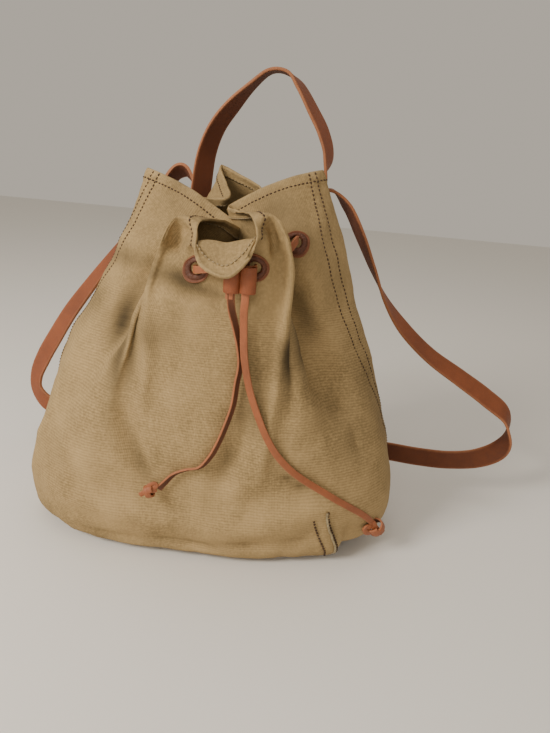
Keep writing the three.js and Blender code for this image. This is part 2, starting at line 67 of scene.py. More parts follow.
# Folds of the mouth: name, place round the cloth, lace line point, crest point or None for
# halfway, rim point, and whether an eyelet sits on the lace line there
FOLDS = (
    ("lip_centre", 0.000, (0.056, -0.500, 0.754), (0.048, -0.533, 0.852), (0.064, -0.652, 0.791), 0),
    ("lip_right", 0.030, (0.100, -0.500, 0.789), (0.089, -0.538, 0.863), (0.105, -0.636, 0.827), 0),
    ("front_right", 0.055, (0.133, -0.489, 0.811), (0.123, -0.543, 0.871), (0.114, -0.609, 0.864), 1),
    ("pocket_right", 0.074, (0.155, -0.451, 0.817), (0.128, -0.457, 0.887), (0.111, -0.565, 0.885), 0),
    ("ear_right", 0.092, (0.184, -0.465, 0.830), (0.137, -0.495, 0.917), (0.094, -0.489, 0.907), 0),
    ("ear_right_back", 0.125, (0.150, -0.337, 0.823), (0.103, -0.348, 0.899), (0.061, -0.326, 0.913), 1),
    ("valley_right", 0.170, (0.050, -0.152, 0.811), None, (0.002, -0.065, 0.914), 0),
    ("wing_right", 0.215, (0.176, -0.225, 0.850), None, (0.106, -0.043, 0.974), 1),
    ("corner_right", 0.270, (0.290, 0.043, 0.823), None, (0.212, 0.054, 1.010), 0),
    ("wing_right_back", 0.320, (0.172, 0.261, 0.846), None, (0.117, 0.141, 0.965), 1),
    ("valley_right_back", 0.365, (0.067, 0.196, 0.834), None, (0.042, 0.141, 0.934), 0),
    ("back_right", 0.430, (0.094, 0.359, 0.846), None, (0.033, 0.315, 0.950), 1),
    ("back_centre", 0.500, (-0.028, 0.435, 0.846), (-0.080, 0.400, 0.930), (-0.080, 0.370, 1.000), 0),
    ("back_left", 0.565, (-0.144, 0.370, 0.834), (-0.120, 0.300, 0.890), (-0.046, 0.245, 0.955), 1),
    ("valley_left_back", 0.625, (-0.072, 0.185, 0.823), (-0.060, 0.140, 0.870), (-0.028, 0.120, 0.925), 0),
    ("wing_left_back", 0.680, (-0.172, 0.250, 0.829), (-0.150, 0.160, 0.880), (-0.128, 0.141, 0.920), 1),
    ("corner_left", 0.735, (-0.283, 0.033, 0.817), None, (-0.228, 0.043, 0.980), 0),
    ("wing_left", 0.790, (-0.167, -0.196, 0.811), None, (-0.105, -0.043, 0.943), 1),
    ("valley_left", 0.840, (-0.017, -0.185, 0.789), None, (0.041, -0.152, 0.865), 0),
    ("ear_left_back", 0.880, (-0.083, -0.326, 0.806), (-0.051, -0.326, 0.879), (0.013, -0.293, 0.888), 1),
    ("ear_left", 0.912, (-0.114, -0.467, 0.811), (-0.067, -0.473, 0.895), (-0.013, -0.500, 0.887), 0),
    ("pocket_left", 0.931, (-0.095, -0.457, 0.803), (-0.059, -0.446, 0.862), (-0.010, -0.565, 0.864), 0),
    ("front_left", 0.950, (-0.050, -0.500, 0.800), (-0.031, -0.543, 0.839), (-0.006, -0.609, 0.844), 1),
    ("lip_left", 0.975, (0.006, -0.511, 0.777), (0.008, -0.538, 0.853), (0.008, -0.636, 0.811), 0),
)
CINCH_HALF_WIDTH = 0.287
CINCH_HALF_DEPTH = 0.470
ROW_SPANS = len(SECTIONS) + 2
LACE_LINE = (ROW_SPANS - 2) / ROW_SPANS
PROFILE_SAMPLES = 480
GIRTH = 0.900
CLOTH_RISE = 0.420

# Soft dents and ridges of the worn cloth: name, half width and depth in millimetres, depth
# positive outwards, and the line's places round and up the cloth
DENTS = (
    ("left_ridge", 5, 4.6, ((0.922, 0.800), (0.926, 0.704), (0.935, 0.646), (0.941, 0.588), (0.945, 0.500),
                            (0.947, 0.430))),
    ("left_hollow", 11, -8.5, ((0.908, 0.760), (0.909, 0.690), (0.914, 0.640), (0.918, 0.580), (0.922, 0.510),
                               (0.928, 0.440))),
    ("left_slope", 20, -5.0, ((0.890, 0.620), (0.895, 0.540), (0.902, 0.460))),
    ("left_swell", 24, 3.0, ((0.800, 0.560), (0.820, 0.480), (0.845, 0.400))),
    ("left_hook", 9, -8.0, ((0.922, 0.450), (0.931, 0.404), (0.939, 0.366), (0.951, 0.320), (0.963, 0.292))),
    ("right_ridge", 5, 3.8, ((0.087, 0.800), (0.088, 0.720), (0.087, 0.640), (0.080, 0.540), (0.074, 0.420), (0.066, 0.320))),
    ("right_hollow", 13, -7.5, ((0.106, 0.770), (0.110, 0.700), (0.109, 0.634), (0.101, 0.560), (0.095, 0.490), (0.090, 0.420))),
    ("right_valley", 20, -4.5, ((0.190, 0.740), (0.184, 0.640), (0.178, 0.540), (0.172, 0.440))),
    ("right_dimple_1", 9, -6.0, ((0.179, 0.470), (0.188, 0.440))),
    ("right_dimple_2", 8, -5.0, ((0.183, 0.395), (0.189, 0.375))),
    ("base_hollow_left", 8, -3.4, ((0.860, 0.285), (0.917, 0.272), (0.957, 0.262), (0.995, 0.258))),
    ("base_hollow_right", 8, -3.4, ((0.000, 0.258), (0.050, 0.268), (0.095, 0.290))),
    ("base_roll_left", 8, 4.0, ((0.860, 0.235), (0.917, 0.222), (0.957, 0.212), (0.995, 0.208))),
    ("base_roll_right", 8, 4.0, ((0.000, 0.208), (0.057, 0.215), (0.105, 0.235))),
    ("ear_edge_left", 3, 1.6, ((0.915, 0.780), (0.914, 0.830), (0.912, 0.875))),
    ("ear_edge_right", 3, 1.6, ((0.090, 0.780), (0.091, 0.830), (0.092, 0.875))),
    ("pocket_left", 6, -4.5, ((0.930, 0.865), (0.933, 0.835), (0.938, 0.805))),
    ("pocket_right", 6, -4.5, ((0.076, 0.868), (0.072, 0.835), (0.066, 0.805))),
    ("corner_ridge", 6, 6.0, ((0.085, 0.240), (0.105, 0.256), (0.125, 0.266), (0.142, 0.272), (0.160, 0.262),
                              (0.179, 0.230))),
    ("base_line", 5, -5.0, ((0.860, 0.150), (0.899, 0.142), (0.932, 0.140), (0.963, 0.142), (0.991, 0.144),
                            (1.026, 0.156), (1.062, 0.168), (1.104, 0.178), (1.120, 0.190))),
    ("corner_under", 9, -4.0, ((0.150, 0.215), (0.165, 0.190), (0.180, 0.150))),
    ("lace_hollow", 10, -7.0, ((0.046, 0.440), (0.041, 0.404), (0.035, 0.362), (0.028, 0.318), (0.022, 0.294))),
    ("lace_swell", 11, 4.0, ((0.070, 0.420), (0.062, 0.350), (0.055, 0.300))),
    ("corner_hollow", 6, -7.0, ((0.080, 0.340), (0.096, 0.320), (0.110, 0.306), (0.128, 0.297), (0.142, 0.296))),
    ("left_low", 60, -12.0, ((0.720, 0.330), (0.800, 0.280))),
    ("left_corner", 17, 11.0, ((0.735, 0.060), (0.765, 0.045), (0.800, 0.050))),
    ("left_notch", 7, -5.0, ((0.815, 0.020), (0.830, 0.080), (0.845, 0.110))),
    ("corner_tongue", 5, 1.6, ((0.126, 0.250), (0.132, 0.190), (0.143, 0.130))),
    ("front_soft_left", 16, -2.4, ((0.962, 0.660), (0.966, 0.560), (0.962, 0.450))),
    ("front_soft_right", 16, -2.6, ((0.046, 0.640), (0.042, 0.520), (0.036, 0.400))),
)

# Painted shade on the cloth where folds, hollows, grooves and sides turn away from the light: name, half width in
# millimetres, strength, places
PAINTED_SHADES = (
    ("left_hollow", 17, 0.90, ((0.798, 0.725), (0.803, 0.690), (0.808, 0.650), (0.814, 0.618), (0.822, 0.578),
                               (0.832, 0.545), (0.850, 0.520))),
    ("left_fold", 21, 0.78, ((0.850, 0.760), (0.865, 0.640), (0.875, 0.560), (0.892, 0.510), (0.908, 0.470),
                             (0.920, 0.420), (0.926, 0.380))),
    ("left_front", 11, 0.85, ((0.904, 0.760), (0.908, 0.690), (0.914, 0.630), (0.919, 0.570), (0.923, 0.500),
                              (0.928, 0.430))),
    ("right_hollow", 15, 0.90, ((0.104, 0.720), (0.106, 0.648), (0.094, 0.596), (0.090, 0.540), (0.090, 0.490),
                                (0.088, 0.420))),
    ("right_far", 15, 0.80, ((0.199, 0.720), (0.197, 0.674), (0.192, 0.620), (0.170, 0.560))),
    ("right_fold", 19, 0.72, ((0.140, 0.780), (0.140, 0.680), (0.128, 0.560), (0.112, 0.480))),
    ("right_wing", 32, 0.68, ((0.214, 1.060), (0.216, 0.960), (0.219, 0.860), (0.223, 0.770), (0.226, 0.680))),
    ("left_wing", 30, 0.48, ((0.785, 1.060), (0.786, 0.960), (0.786, 0.840), (0.790, 0.720))),
    ("left_hook", 9, 0.75, ((0.919, 0.440), (0.931, 0.404), (0.939, 0.366), (0.951, 0.320), (0.963, 0.292))),
    ("right_dimple_1", 10, 0.65, ((0.180, 0.465), (0.189, 0.440))),
    ("right_dimple_2", 8, 0.60, ((0.184, 0.395), (0.189, 0.375))),
    ("lace_hollow", 11, 0.60, ((0.041, 0.404), (0.035, 0.362), (0.028, 0.318), (0.022, 0.294))),
    ("corner_hollow", 6, 0.85, ((0.080, 0.338), (0.096, 0.318), (0.110, 0.304), (0.128, 0.295), (0.142, 0.294))),
    ("base_line", 6, 0.72, ((0.860, 0.150), (0.899, 0.142), (0.932, 0.140), (0.963, 0.142), (0.991, 0.144),
                            (1.026, 0.156), (1.062, 0.168), (1.104, 0.178), (1.120, 0.190))),
    ("right_low", 32, 0.62, ((0.192, 0.520), (0.180, 0.440), (0.168, 0.390), (0.172, 0.310))),
    ("under_lip", 15, 0.75, ((0.972, 0.765), (0.988, 0.735), (0.000, 0.690))),
    ("right_side", 26, 0.58, ((0.240, 0.560), (0.238, 0.400), (0.230, 0.240))),
    ("chest", 32, 0.52, ((0.962, 0.690), (0.975, 0.600), (0.010, 0.520))),
    ("chest_right", 24, 0.50, ((0.066, 0.600), (0.060, 0.480), (0.056, 0.380))),
    ("lip", 22, 0.58, ((0.960, 0.960), (0.985, 0.940), (1.000, 0.930), (1.020, 0.940), (1.045, 0.960))),
    ("row_1", 3, 0.75, ((0.119, 0.240), (0.128, 0.180), (0.143, 0.090))),
    ("row_2", 3, 0.75, ((0.133, 0.262), (0.142, 0.190), (0.153, 0.100))),
)

# Straps as in the part: middle points with the way the grain looks, or sewn rows on the cloth
STRAP_REACH = 0.330
LEFT_STRAP = (
    ("sewn", (0.616, 0.520), 1), ("sewn", (0.616, 0.570), 1), ("sewn", (0.614, 0.620), 1),
    ("free", (-0.180, 0.455, 0.790), (0.6, 0.8, 0)), ("free", (-0.176, 0.480, 0.880), (0.95, 0.3, 0.1)),
    ("free", (-0.190, 0.505, 0.944), (0.85, 0.3, 0.5)), ("free", (-0.222, 0.525, 0.974), (0.1, 0.55, 0.85)),
    ("free", (-0.256, 0.535, 0.960), (-0.6, 0.4, 0.65)), ("free", (-0.300, 0.535, 0.900), (-0.85, 0.05, 0.5)),
    ("free", (-0.389, 0.530, 0.790), (-0.75, -0.4, 0.5)),
    ("free", (-0.482, 0.533, 0.680), (-0.6, -0.6, 0.5)), ("free", (-0.567, 0.550, 0.580), (-0.5, -0.75, 0.45)),
    ("free", (-0.645, 0.570, 0.485), (-0.45, -0.85, 0.3)), ("free", (-0.712, 0.590, 0.390), (-0.4, -0.9, 0.2)),
    ("free", (-0.763, 0.595, 0.310), (-0.4, -0.9, 0.1)), ("free", (-0.791, 0.571, 0.240), (-0.5, -0.9, 0)),
    ("free", (-0.785, 0.543, 0.191), (-0.5, -0.9, 0)), ("free", (-0.735, 0.520, 0.145), (-0.3, -1, 0)),
    ("free", (-0.640, 0.535, 0.125), (-0.1, -1, 0)), ("free", (-0.530, 0.545, 0.125), (0, -1, 0)),
    ("sewn", (0.630, 0.222), -1), ("sewn", (0.615, 0.222), -1), ("sewn", (0.600, 0.222), -1),
)
RIGHT_STRAP = (
    ("sewn", (0.370, 0.520), 1), ("sewn", (0.370, 0.570), 1), ("sewn", (0.374, 0.620), 1),
    ("free", (0.165, 0.430, 0.790), (0, 1, 0)), ("free", (0.170, 0.470, 0.880), (-0.4, 0.8, 0.4)),
    ("free", (0.200, 0.500, 0.938), (-0.5, 0.3, 0.9)), ("free", (0.250, 0.520, 0.952), (0.2, 0, 1)),
    ("free", (0.300, 0.535, 0.910), (0.85, 0.42, 0.4)),
    ("free", (0.352, 0.543, 0.829), (0.87, 0.45, 0.3)), ("free", (0.403, 0.565, 0.737), (0.92, 0.28, 0.3)),
    ("free", (0.461, 0.576, 0.640), (0.90, -0.12, 0.5)), ("free", (0.533, 0.587, 0.557), (0.6, -0.5, 0.7)),
    ("free", (0.633, 0.587, 0.477), (0.4, -0.6, 0.8)), ("free", (0.745, 0.587, 0.414), (0.3, -0.7, 0.7)),
    ("free", (0.845, 0.587, 0.357), (0.4, -0.8, 0.6)), ("free", (0.918, 0.576, 0.306), (0.8, -0.6, 0.3)),
    ("free", (0.932, 0.543, 0.256), (1, -0.2, -0.1)), ("free", (0.912, 0.500, 0.205), (0.6, 0.7, -0.4)),
    ("free", (0.848, 0.470, 0.172), (0.2, 1, -0.2)), ("free", (0.752, 0.455, 0.154), (0, 1, 0)),
    ("free", (0.648, 0.455, 0.150), (0, 1, 0)), ("free", (0.540, 0.465, 0.152), (0, 1, 0)),
    ("sewn", (0.372, 0.240), 1), ("sewn", (0.386, 0.240), 1), ("sewn", (0.400, 0.240), 1),
)
# Handle rows: across, deep and rise as shares of its span, the bag's depth and its rise
HANDLE_SPAN = 0.126
HANDLE_RISE = 0.130
HANDLE_FOOT = 0.880
HANDLE = (
    ("sewn", (0.560, 0.600), 1), ("sewn", (0.560, 0.650), 1), ("sewn", (0.562, 0.695), 1),
    ("free", (-0.405, 0.435, 0.140), (-0.6, 0.8, 0)), ("free", (-0.365, 0.435, 0.408), (-0.72, 0.66, 0.2)),
    ("free", (-0.290, 0.435, 0.590), (-0.75, 0.55, 0.4)), ("free", (-0.180, 0.435, 0.735), (-0.6, 0.4, 0.6)),
    ("free", (-0.030, 0.435, 0.890), (-0.6, 0.1, 0.7)), ("free", (0.090, 0.435, 0.985), (-0.4, 0, 0.9)),
    ("free", (0.170, 0.435, 1.000), (0, 0, 1)), ("free", (0.254, 0.435, 0.977), (0.5, 0, 0.9)),
    ("free", (0.333, 0.435, 0.908), (0.75, -0.25, 0.6)), ("free", (0.455, 0.435, 0.740), (0.88, -0.38, 0.35)),
    ("free", (0.545, 0.435, 0.600), (0.9, -0.4, 0.25)), ("free", (0.600, 0.435, 0.430), (0.93, -0.3, 0.1)),
    ("free", (0.530, 0.425, 0.150), (0.7, 0.7, 0)),
    ("sewn", (0.418, 0.695), 1), ("sewn", (0.420, 0.650), 1), ("sewn", (0.422, 0.600), 1),
)

# Free lace ends: the part's points, in millimetres, with the X and Z parts of the way the grain looks; the left end is
# then turned over so its dark flesh side shows as painted shade
LEFT_TAIL = (
    (24.3, -105.2, 266, 0, 0), (24.4, -105, 257.4, 0.2, 0), (25.2, -103, 249, 0.5, 0),
    (27.4, -100.5, 239, 0.7, 0), (29.6, -98.6, 229, 0.8, 0), (31.8, -97, 217, 0.85, 0),
    (33, -96, 204, 0.85, 0), (31, -95.6, 188, 0.85, 0), (29, -96.2, 168, 0.85, 0),
    (24, -96.6, 149, 0.82, -0.1), (18, -96.8, 131, 0.75, -0.3), (11.5, -97, 117, 0.5, -0.6),
    (3, -97.5, 106.5, 0.3, -0.8), (-8, -98, 103, 0.1, -0.85), (-19, -98.6, 97, 0.3, -0.75),
    (-27, -98.8, 87.5, 0.4, -0.5), (-32.5, -99, 80.5, 0.2, -0.2),
)
RIGHT_TAIL = (
    (35.3, -105.2, 266, 0, 0), (35.3, -105.2, 257.4, 0, 0), (34.6, -103.5, 250, 0, 0),
    (34.6, -101.4, 240, -0.1, 0), (35, -100, 229, -0.1, 0), (36, -99, 214, -0.15, 0),
    (38.5, -97.6, 198, -0.2, 0.1), (43, -95.4, 179, -0.25, 0.2), (51.5, -93.6, 156, -0.25, 0.3),
    (58.5, -92, 140, -0.2, 0.35), (68, -89.6, 124, 0, 0.4), (80.5, -86.6, 110, 0.1, 0.45),
    (94, -82.6, 99, 0.15, 0.5), (109, -76.8, 88, 0.2, 0.5), (122, -71, 78, 0.3, 0.45),
    (135, -64, 68, 0.4, 0.4), (147, -55.8, 57.5, 0.5, 0.35), (154.5, -50, 49.5, 0.6, 0.3),
    (160, -44, 41.5, 0.65, 0.2),
)


class BACKPACK_sizes(bpy.types.PropertyGroup):
    """Sizes that a user would change"""

    cloth_wall: bpy.props.FloatProperty(
        name="Canvas", description="Thickness of the canvas", default=1.6 * MM, unit="LENGTH")
    hem_width: bpy.props.FloatProperty(
        name="Hem", description="Width of the turned hem", default=10 * MM, unit="LENGTH")
    stitch_pitch: bpy.props.FloatProperty(
        name="Stitch", description="Length of one stitch with its gap", default=3.6 * MM, unit="LENGTH")
    strap_width: bpy.props.FloatProperty(
        name="Strap width", description="Width of the straps", default=22 * MM, unit="LENGTH")
    strap_thickness: bpy.props.FloatProperty(
        name="Strap thickness", description="Thickness of the straps", default=3 * MM, unit="LENGTH")
    lace_width: bpy.props.FloatProperty(
        name="Lace width", description="Width of the lace", default=6 * MM, unit="LENGTH")
    lace_thickness: bpy.props.FloatProperty(
        name="Lace thickness", description="Thickness of the lace", default=2.0 * MM, unit="LENGTH")


class BACKPACK_colours(bpy.types.PropertyGroup):
    """Colours that a user would change"""

    canvas: bpy.props.FloatVectorProperty(
        name="Canvas", description="Main colour of the canvas", subtype="COLOR", size=4,
        default=(0.405, 0.282, 0.132, 1))
    canvas_shade: bpy.props.FloatVectorProperty(
        name="Canvas shade", description="Darker patches of the canvas", subtype="COLOR", size=4,
        default=(0.200, 0.138, 0.061, 1))
    canvas_wear: bpy.props.FloatVectorProperty(
        name="Canvas wear", description="Rubbed edges of the canvas", subtype="COLOR", size=4,
        default=(0.540, 0.400, 0.215, 1))
    strap: bpy.props.FloatVectorProperty(
        name="Strap leather", description="Grain of the straps", subtype="COLOR", size=4,
        default=(0.235, 0.064, 0.021, 1))
    strap_edge: bpy.props.FloatVectorProperty(
        name="Strap edge", description="Cut edge of the leather", subtype="COLOR", size=4,
        default=(0.330, 0.125, 0.052, 1))
    lace: bpy.props.FloatVectorProperty(
        name="Lace leather", description="Grain of the lace", subtype="COLOR", size=4,
        default=(0.320, 0.098, 0.036, 1))
    eyelet: bpy.props.FloatVectorProperty(
        name="Eyelet leather", description="Inner ring of the eyelets", subtype="COLOR", size=4,
        default=(0.120, 0.038, 0.017, 1))
    thread: bpy.props.FloatVectorProperty(
        name="Thread", description="Sewing thread", subtype="COLOR", size=4,
        default=(0.040, 0.020, 0.009, 1))


class BACKPACK_view(bpy.types.PropertyGroup):
    """Place of the camera, in the bag's own frame"""

    place: bpy.props.FloatVectorProperty(
        name="Place", description="Where the camera stands", subtype="TRANSLATION",
        default=(0.110, -0.516, 0.360), unit="LENGTH")
    yaw: bpy.props.FloatProperty(
        name="Yaw", description="Turn to the left of the bag's depth", default=math.radians(6.7),
        subtype="ANGLE")
    pitch: bpy.props.FloatProperty(
        name="Pitch", description="Look down", default=math.radians(20.0), subtype="ANGLE")
    roll: bpy.props.FloatProperty(
        name="Roll", description="Lean of the camera", default=math.radians(4.7), subtype="ANGLE")
    focal_pixels: bpy.props.FloatProperty(
        name="Focal length", description="Focal length in pixels of the 733 pixel frame", default=571.0)


def sizes():
    return bpy.context.scene.backpack_sizes


def colours():
    return bpy.context.scene.backpack_colours


# Smooth curves

def spline(rows, place, closed=False):
    """Centripetal curve through rows, at places from 0 to 1: rows may hold a column per place."""
    rows = np.asarray(rows, float)
    place = np.atleast_1d(np.asarray(place, float))
    count = len(rows)
    spans = count if closed else count - 1
    along = place * spans
    first = np.clip(np.floor(along).astype(int), 0, spans - 1)
    share = (along - first)[:, None]
    if closed:
        ids = [(first + step) % count for step in (-1, 0, 1, 2)]
        held = rows
    else:
        ids = [first + step for step in (0, 1, 2, 3)]
        held = np.concatenate([[2 * rows[0] - rows[1]], rows, [2 * rows[-1] - rows[-2]]])
    column = np.arange(len(place)) % held.shape[1] if held.ndim == 3 else None
    p0, p1, p2, p3 = [held[i] if column is None else held[i, column] for i in ids]
    t0, t1, t2 = [np.sqrt(np.linalg.norm(b - a, axis=-1))[:, None] + 1e-9
                  for a, b in ((p0, p1), (p1, p2), (p2, p3))]
    leave = ((p1 - p0) / t0 - (p2 - p0) / (t0 + t1) + (p2 - p1) / t1) * t1
    arrive = ((p2 - p1) / t1 - (p3 - p1) / (t1 + t2) + (p3 - p2) / t2) * t1
    cubic = 2 * p1 - 2 * p2 + leave + arrive
    square = -3 * p1 + 3 * p2 - 2 * leave - arrive
    return p1 + leave * share + square * share ** 2 + cubic * share ** 3


def unit(vectors):
    return vectors / np.maximum(np.linalg.norm(vectors, axis=-1, keepdims=True), 1e-12)


def evenly(points, pitch):
    """Points a pitch apart along a dense line, with the share of each along it."""
    steps = np.linalg.norm(np.diff(points, axis=0), axis=1)
    length = np.concatenate([[0], np.cumsum(steps)])
    count = max(2, int(round(length[-1] / pitch)))
    wanted = (np.arange(count) + 0.5) / count * length[-1]
    return np.interp(wanted, length, np.linspace(0, 1, len(points)))


# The cloth

def section_outline(section):
    """Outline of one body section by length round it, from the front centre."""
    _, wide, deep, power = section[:4]
    angle = np.linspace(0, 2 * math.pi, PROFILE_SAMPLES + 1) - math.pi / 2
    cosine, sine = np.cos(angle), np.sin(angle)
    reach = (np.abs(cosine / (wide * BAG_WIDTH / 2)) ** power
             + np.abs(sine / (deep * BAG_DEPTH / 2)) ** power) ** (-1 / power)
    points = np.stack([reach * cosine, reach * sine], -1)
    steps = np.linalg.norm(np.diff(points, axis=0), axis=1)
    length = np.concatenate([[0], np.cumsum(steps)])
    return length / length[-1], points


OUTLINES = [section_outline(section) for section in SECTIONS]
FOLD_AT = np.array([fold[1] for fold in FOLDS] + [1.0])
CINCH = np.array([fold[2] for fold in FOLDS]) * BAG
RIM = np.array([fold[4] for fold in FOLDS]) * BAG
CREST = np.array([np.array(fold[3]) if fold[3] else (np.array(fold[2]) + np.array(fold[4])) / 2
                  for fold in FOLDS]) * BAG


def cloth_rows(at):
    """The control points of the cloth's columns at places round the bag."""
    at = np.mod(at, 1.0)
    index = np.interp(at, FOLD_AT, np.arange(len(FOLDS) + 1)) / len(FOLDS)
    cinch, crest, rim = [spline(ring, index, closed=True) for ring in (CINCH, CREST, RIM)]
    rows = []
    for section, (length, points) in zip(SECTIONS, OUTLINES):
        height, wide, deep, _, slide, turn, gather = section
        x = np.interp(at, length, points[:, 0])
        y = np.interp(at, length, points[:, 1])
        x = x + (cinch[:, 0] * wide / (2 * CINCH_HALF_WIDTH) - x) * gather
        y = y + (cinch[:, 1] * deep / (2 * CINCH_HALF_DEPTH) - y) * gather
        angle = math.radians(turn)
        rows.append(np.stack([x * math.cos(angle) - y * math.sin(angle) + slide * BAG_WIDTH,
                              x * math.sin(angle) + y * math.cos(angle),
                              np.full_like(x, height * BAG_HEIGHT)], -1))
    return np.array(rows + [cinch, crest, rim])


def cloth(at, up):
    """Points of the cloth's plain outer face."""
    at, up = np.broadcast_arrays(np.asarray(at, float), np.asarray(up, float))
    flat = cloth_rows(at.ravel())
    return spline(flat, np.clip(up.ravel(), 0, 1)).reshape(at.shape + (3,))


def cloth_normal(at, up):
    side, rise = 0.0015, 0.003
    across = cloth(at + side, up) - cloth(at - side, up)
    along = cloth(at, np.clip(up + rise, 0, 1)) - cloth(at, np.clip(up - rise, 0, 1))
    return unit(np.cross(across, along))


def ripples(points, length, seed, count=18):
    """A smooth random field, about -1 to 1, whose waves are about one length long."""
    dice = np.random.default_rng(seed)
    ways = unit(dice.normal(size=(count, 3)))
    waves = ways * (2 * math.pi / (length * dice.uniform(0.7, 1.6, (count, 1))))
    phases = dice.uniform(0, 2 * math.pi, count)
    return np.cos(points @ waves.T + phases).sum(-1) / math.sqrt(count / 2)


def bump(distance, width):
    return np.exp(-(distance / width) ** 2)


def dent(around, up, places, width):
    """1 along a line of places, falling to 0 beside it and towards its ends."""
    nearest = np.full(np.shape(around), 1.0)
    along = np.zeros(np.shape(around))
    for count, (start, end) in enumerate(zip(places, places[1:])):
        line = (end - start) * (GIRTH, CLOTH_RISE)
        away = np.mod(around - start[0] + 0.5, 1.0) - 0.5
        here = np.stack([away * GIRTH, (up - start[1]) * CLOTH_RISE], -1)
        share = np.clip(here @ line / (line @ line), 0, 1)
        distance = np.linalg.norm(here - share[..., None] * line, axis=-1)
        closer = distance < nearest
        nearest = np.where(closer, distance, nearest)
        along = np.where(closer, (count + share) / (len(places) - 1), along)
    return bump(nearest, width) * np.sqrt(np.clip(np.sin(math.pi * along), 0.08, 1))


HEM_WIDTH = 10.5 * MM
RIM_RUN = 0.75
# Felled side seams: places round the cloth of the two rows, as the height up the cloth falls
SEAM_HEIGHTS = (0.0, 0.10, 0.30, 0.47, 0.60, 0.75, 1.0)
SEAMS = {
    "right": ((0.290, 0.280, 0.262, 0.240, 0.234, 0.238, 0.245),
              (0.300, 0.290, 0.272, 0.252, 0.247, 0.2475, 0.2515)),
    "left": ((0.722, 0.722, 0.726, 0.733, 0.738, 0.743, 0.754),
             (0.732, 0.732, 0.737, 0.745, 0.752, 0.757, 0.7605)),
}


def seam_at(side, row, up):
    return np.interp(up, SEAM_HEIGHTS, SEAMS[side][row])


def rim_distances():
    """Height up the cloth that lies one hem's width below the rim, round the mouth."""
    places = np.linspace(0, 1, 1441)
    ups = np.linspace(1.0, RIM_RUN, 60)
    points = cloth(places[:, None], ups[None, :])
    run = np.linalg.norm(np.diff(points, axis=1), axis=2).cumsum(axis=1)
    run = np.concatenate([np.zeros((len(places), 1)), run], axis=1)
    return places, ups, run


PLACES, UPS, RUN = rim_distances()


def up_below_rim(at, distance):
    """Height up the cloth at a distance in metres below the rim."""
    found = np.array([np.interp(distance, run, UPS) for run in RUN])
    return np.interp(np.mod(at, 1.0), PLACES, found)


HEM_LINE = {share: up_below_rim(PLACES, HEM_WIDTH * share) for share in (0.85, 1.0, 1.15)}


def hem_line(at, share=1.0):
    return np.interp(np.mod(at, 1.0), PLACES, HEM_LINE[share])


def relief(at, up, points):
    """How far the worn cloth stands out from its plain face, in metres."""
    mouth = np.clip((up - 0.60) / 0.15, 0, 1)
    low = np.clip(up / 0.08, 0, 1)
    form = 1.3 * MM * ripples(points, 0.105, 3) * (1 - 0.5 * mouth) * low
    form += 0.45 * MM * ripples(points, 0.034, 5) * low
    form += 0.13 * MM * ripples(points, 0.011, 8)
    around = np.mod(at, 1.0)
    for side in SEAMS:
        one, two = seam_at(side, 0, up), seam_at(side, 1, up)
        off = np.abs(around - (one + two) / 2)
        form += 0.6 * MM / (1 + np.exp((off - (two - one) * 0.72) / 0.0006))
        for row in (one, two):
            form -= 0.5 * MM * bump(around - row, 0.0012)
    hem, edge = hem_line(at), hem_line(at, 1.15)
    inside = np.clip((up - edge) / (hem - edge), 0, 1)
    form += 0.9 * MM * inside * inside * (3 - 2 * inside)
    row = hem_line(at, 0.85)
    form -= 0.55 * MM * bump((up - row) / (1 - row), 0.12)
    form -= 7.5 * MM * np.clip(1 - up / 0.11, 0, 1) ** 2
    for _, width, depth, places in DENTS:
        form += depth * MM * dent(around, up, np.array(places), width * MM)
    return form


# How far the low front left edge is drawn in, round the cloth
TUCK = ((0.740, 0.0), (0.785, 0.5), (0.820, 0.45), (0.870, 0.1), (0.900, 0.0), (1.080, 0.0))


def lift_corner(points, at, up):
    """The low right corner stands off the ground and the front left edge is drawn in."""
    at = np.mod(at, 1.0)
    near = np.clip((at - 0.150) / 0.010, 0, 1) * np.clip((0.36 - at) / 0.14, 0, 1)
    near = near * near * (3 - 2 * near) * np.clip(1 - up / 0.24, 0, 1) ** 1.4
    tuck = np.interp(np.where(at < 0.5, at + 1, at), *zip(*TUCK)) * np.clip(1 - up / 0.20, 0, 1) ** 1.3
    right = np.array([-10 * MM, 11 * MM, 20 * MM])
    left = np.array([4 * MM, 15 * MM, 8 * MM])
    return points + near[..., None] * right + tuck[..., None] * left


def worn_cloth(at, up):
    """Points and normals of the finished outer face."""
    at, up = np.broadcast_arrays(np.asarray(at, float), np.asarray(up, float))
    plain = cloth(at, up)
    normal = cloth_normal(at, up)
    return plain + normal * relief(at, up, plain)[..., None], normal


# Materials

class Value:
    """A socket of a material, on which maths adds its nodes."""

    def __init__(self, finish, socket):
        self.finish = finish
        self.socket = socket

    def _maths(self, operation, *values):
        return self.finish.node("ShaderNodeMath", {"operation": operation}, dict(enumerate(values)))

    def __add__(self, other):
        return self._maths("ADD", self, other)

    def __mul__(self, other):
        return self._maths("MULTIPLY", self, other)

    def __sub__(self, other):
        return self._maths("SUBTRACT", self, other)

    def __rsub__(self, other):
        return self._maths("SUBTRACT", other, self)

    def __truediv__(self, other):
        return self._maths("DIVIDE", self, other)

    def __pow__(self, other):
        return self._maths("POWER", self, other)

    __radd__ = __add__
    __rmul__ = __mul__


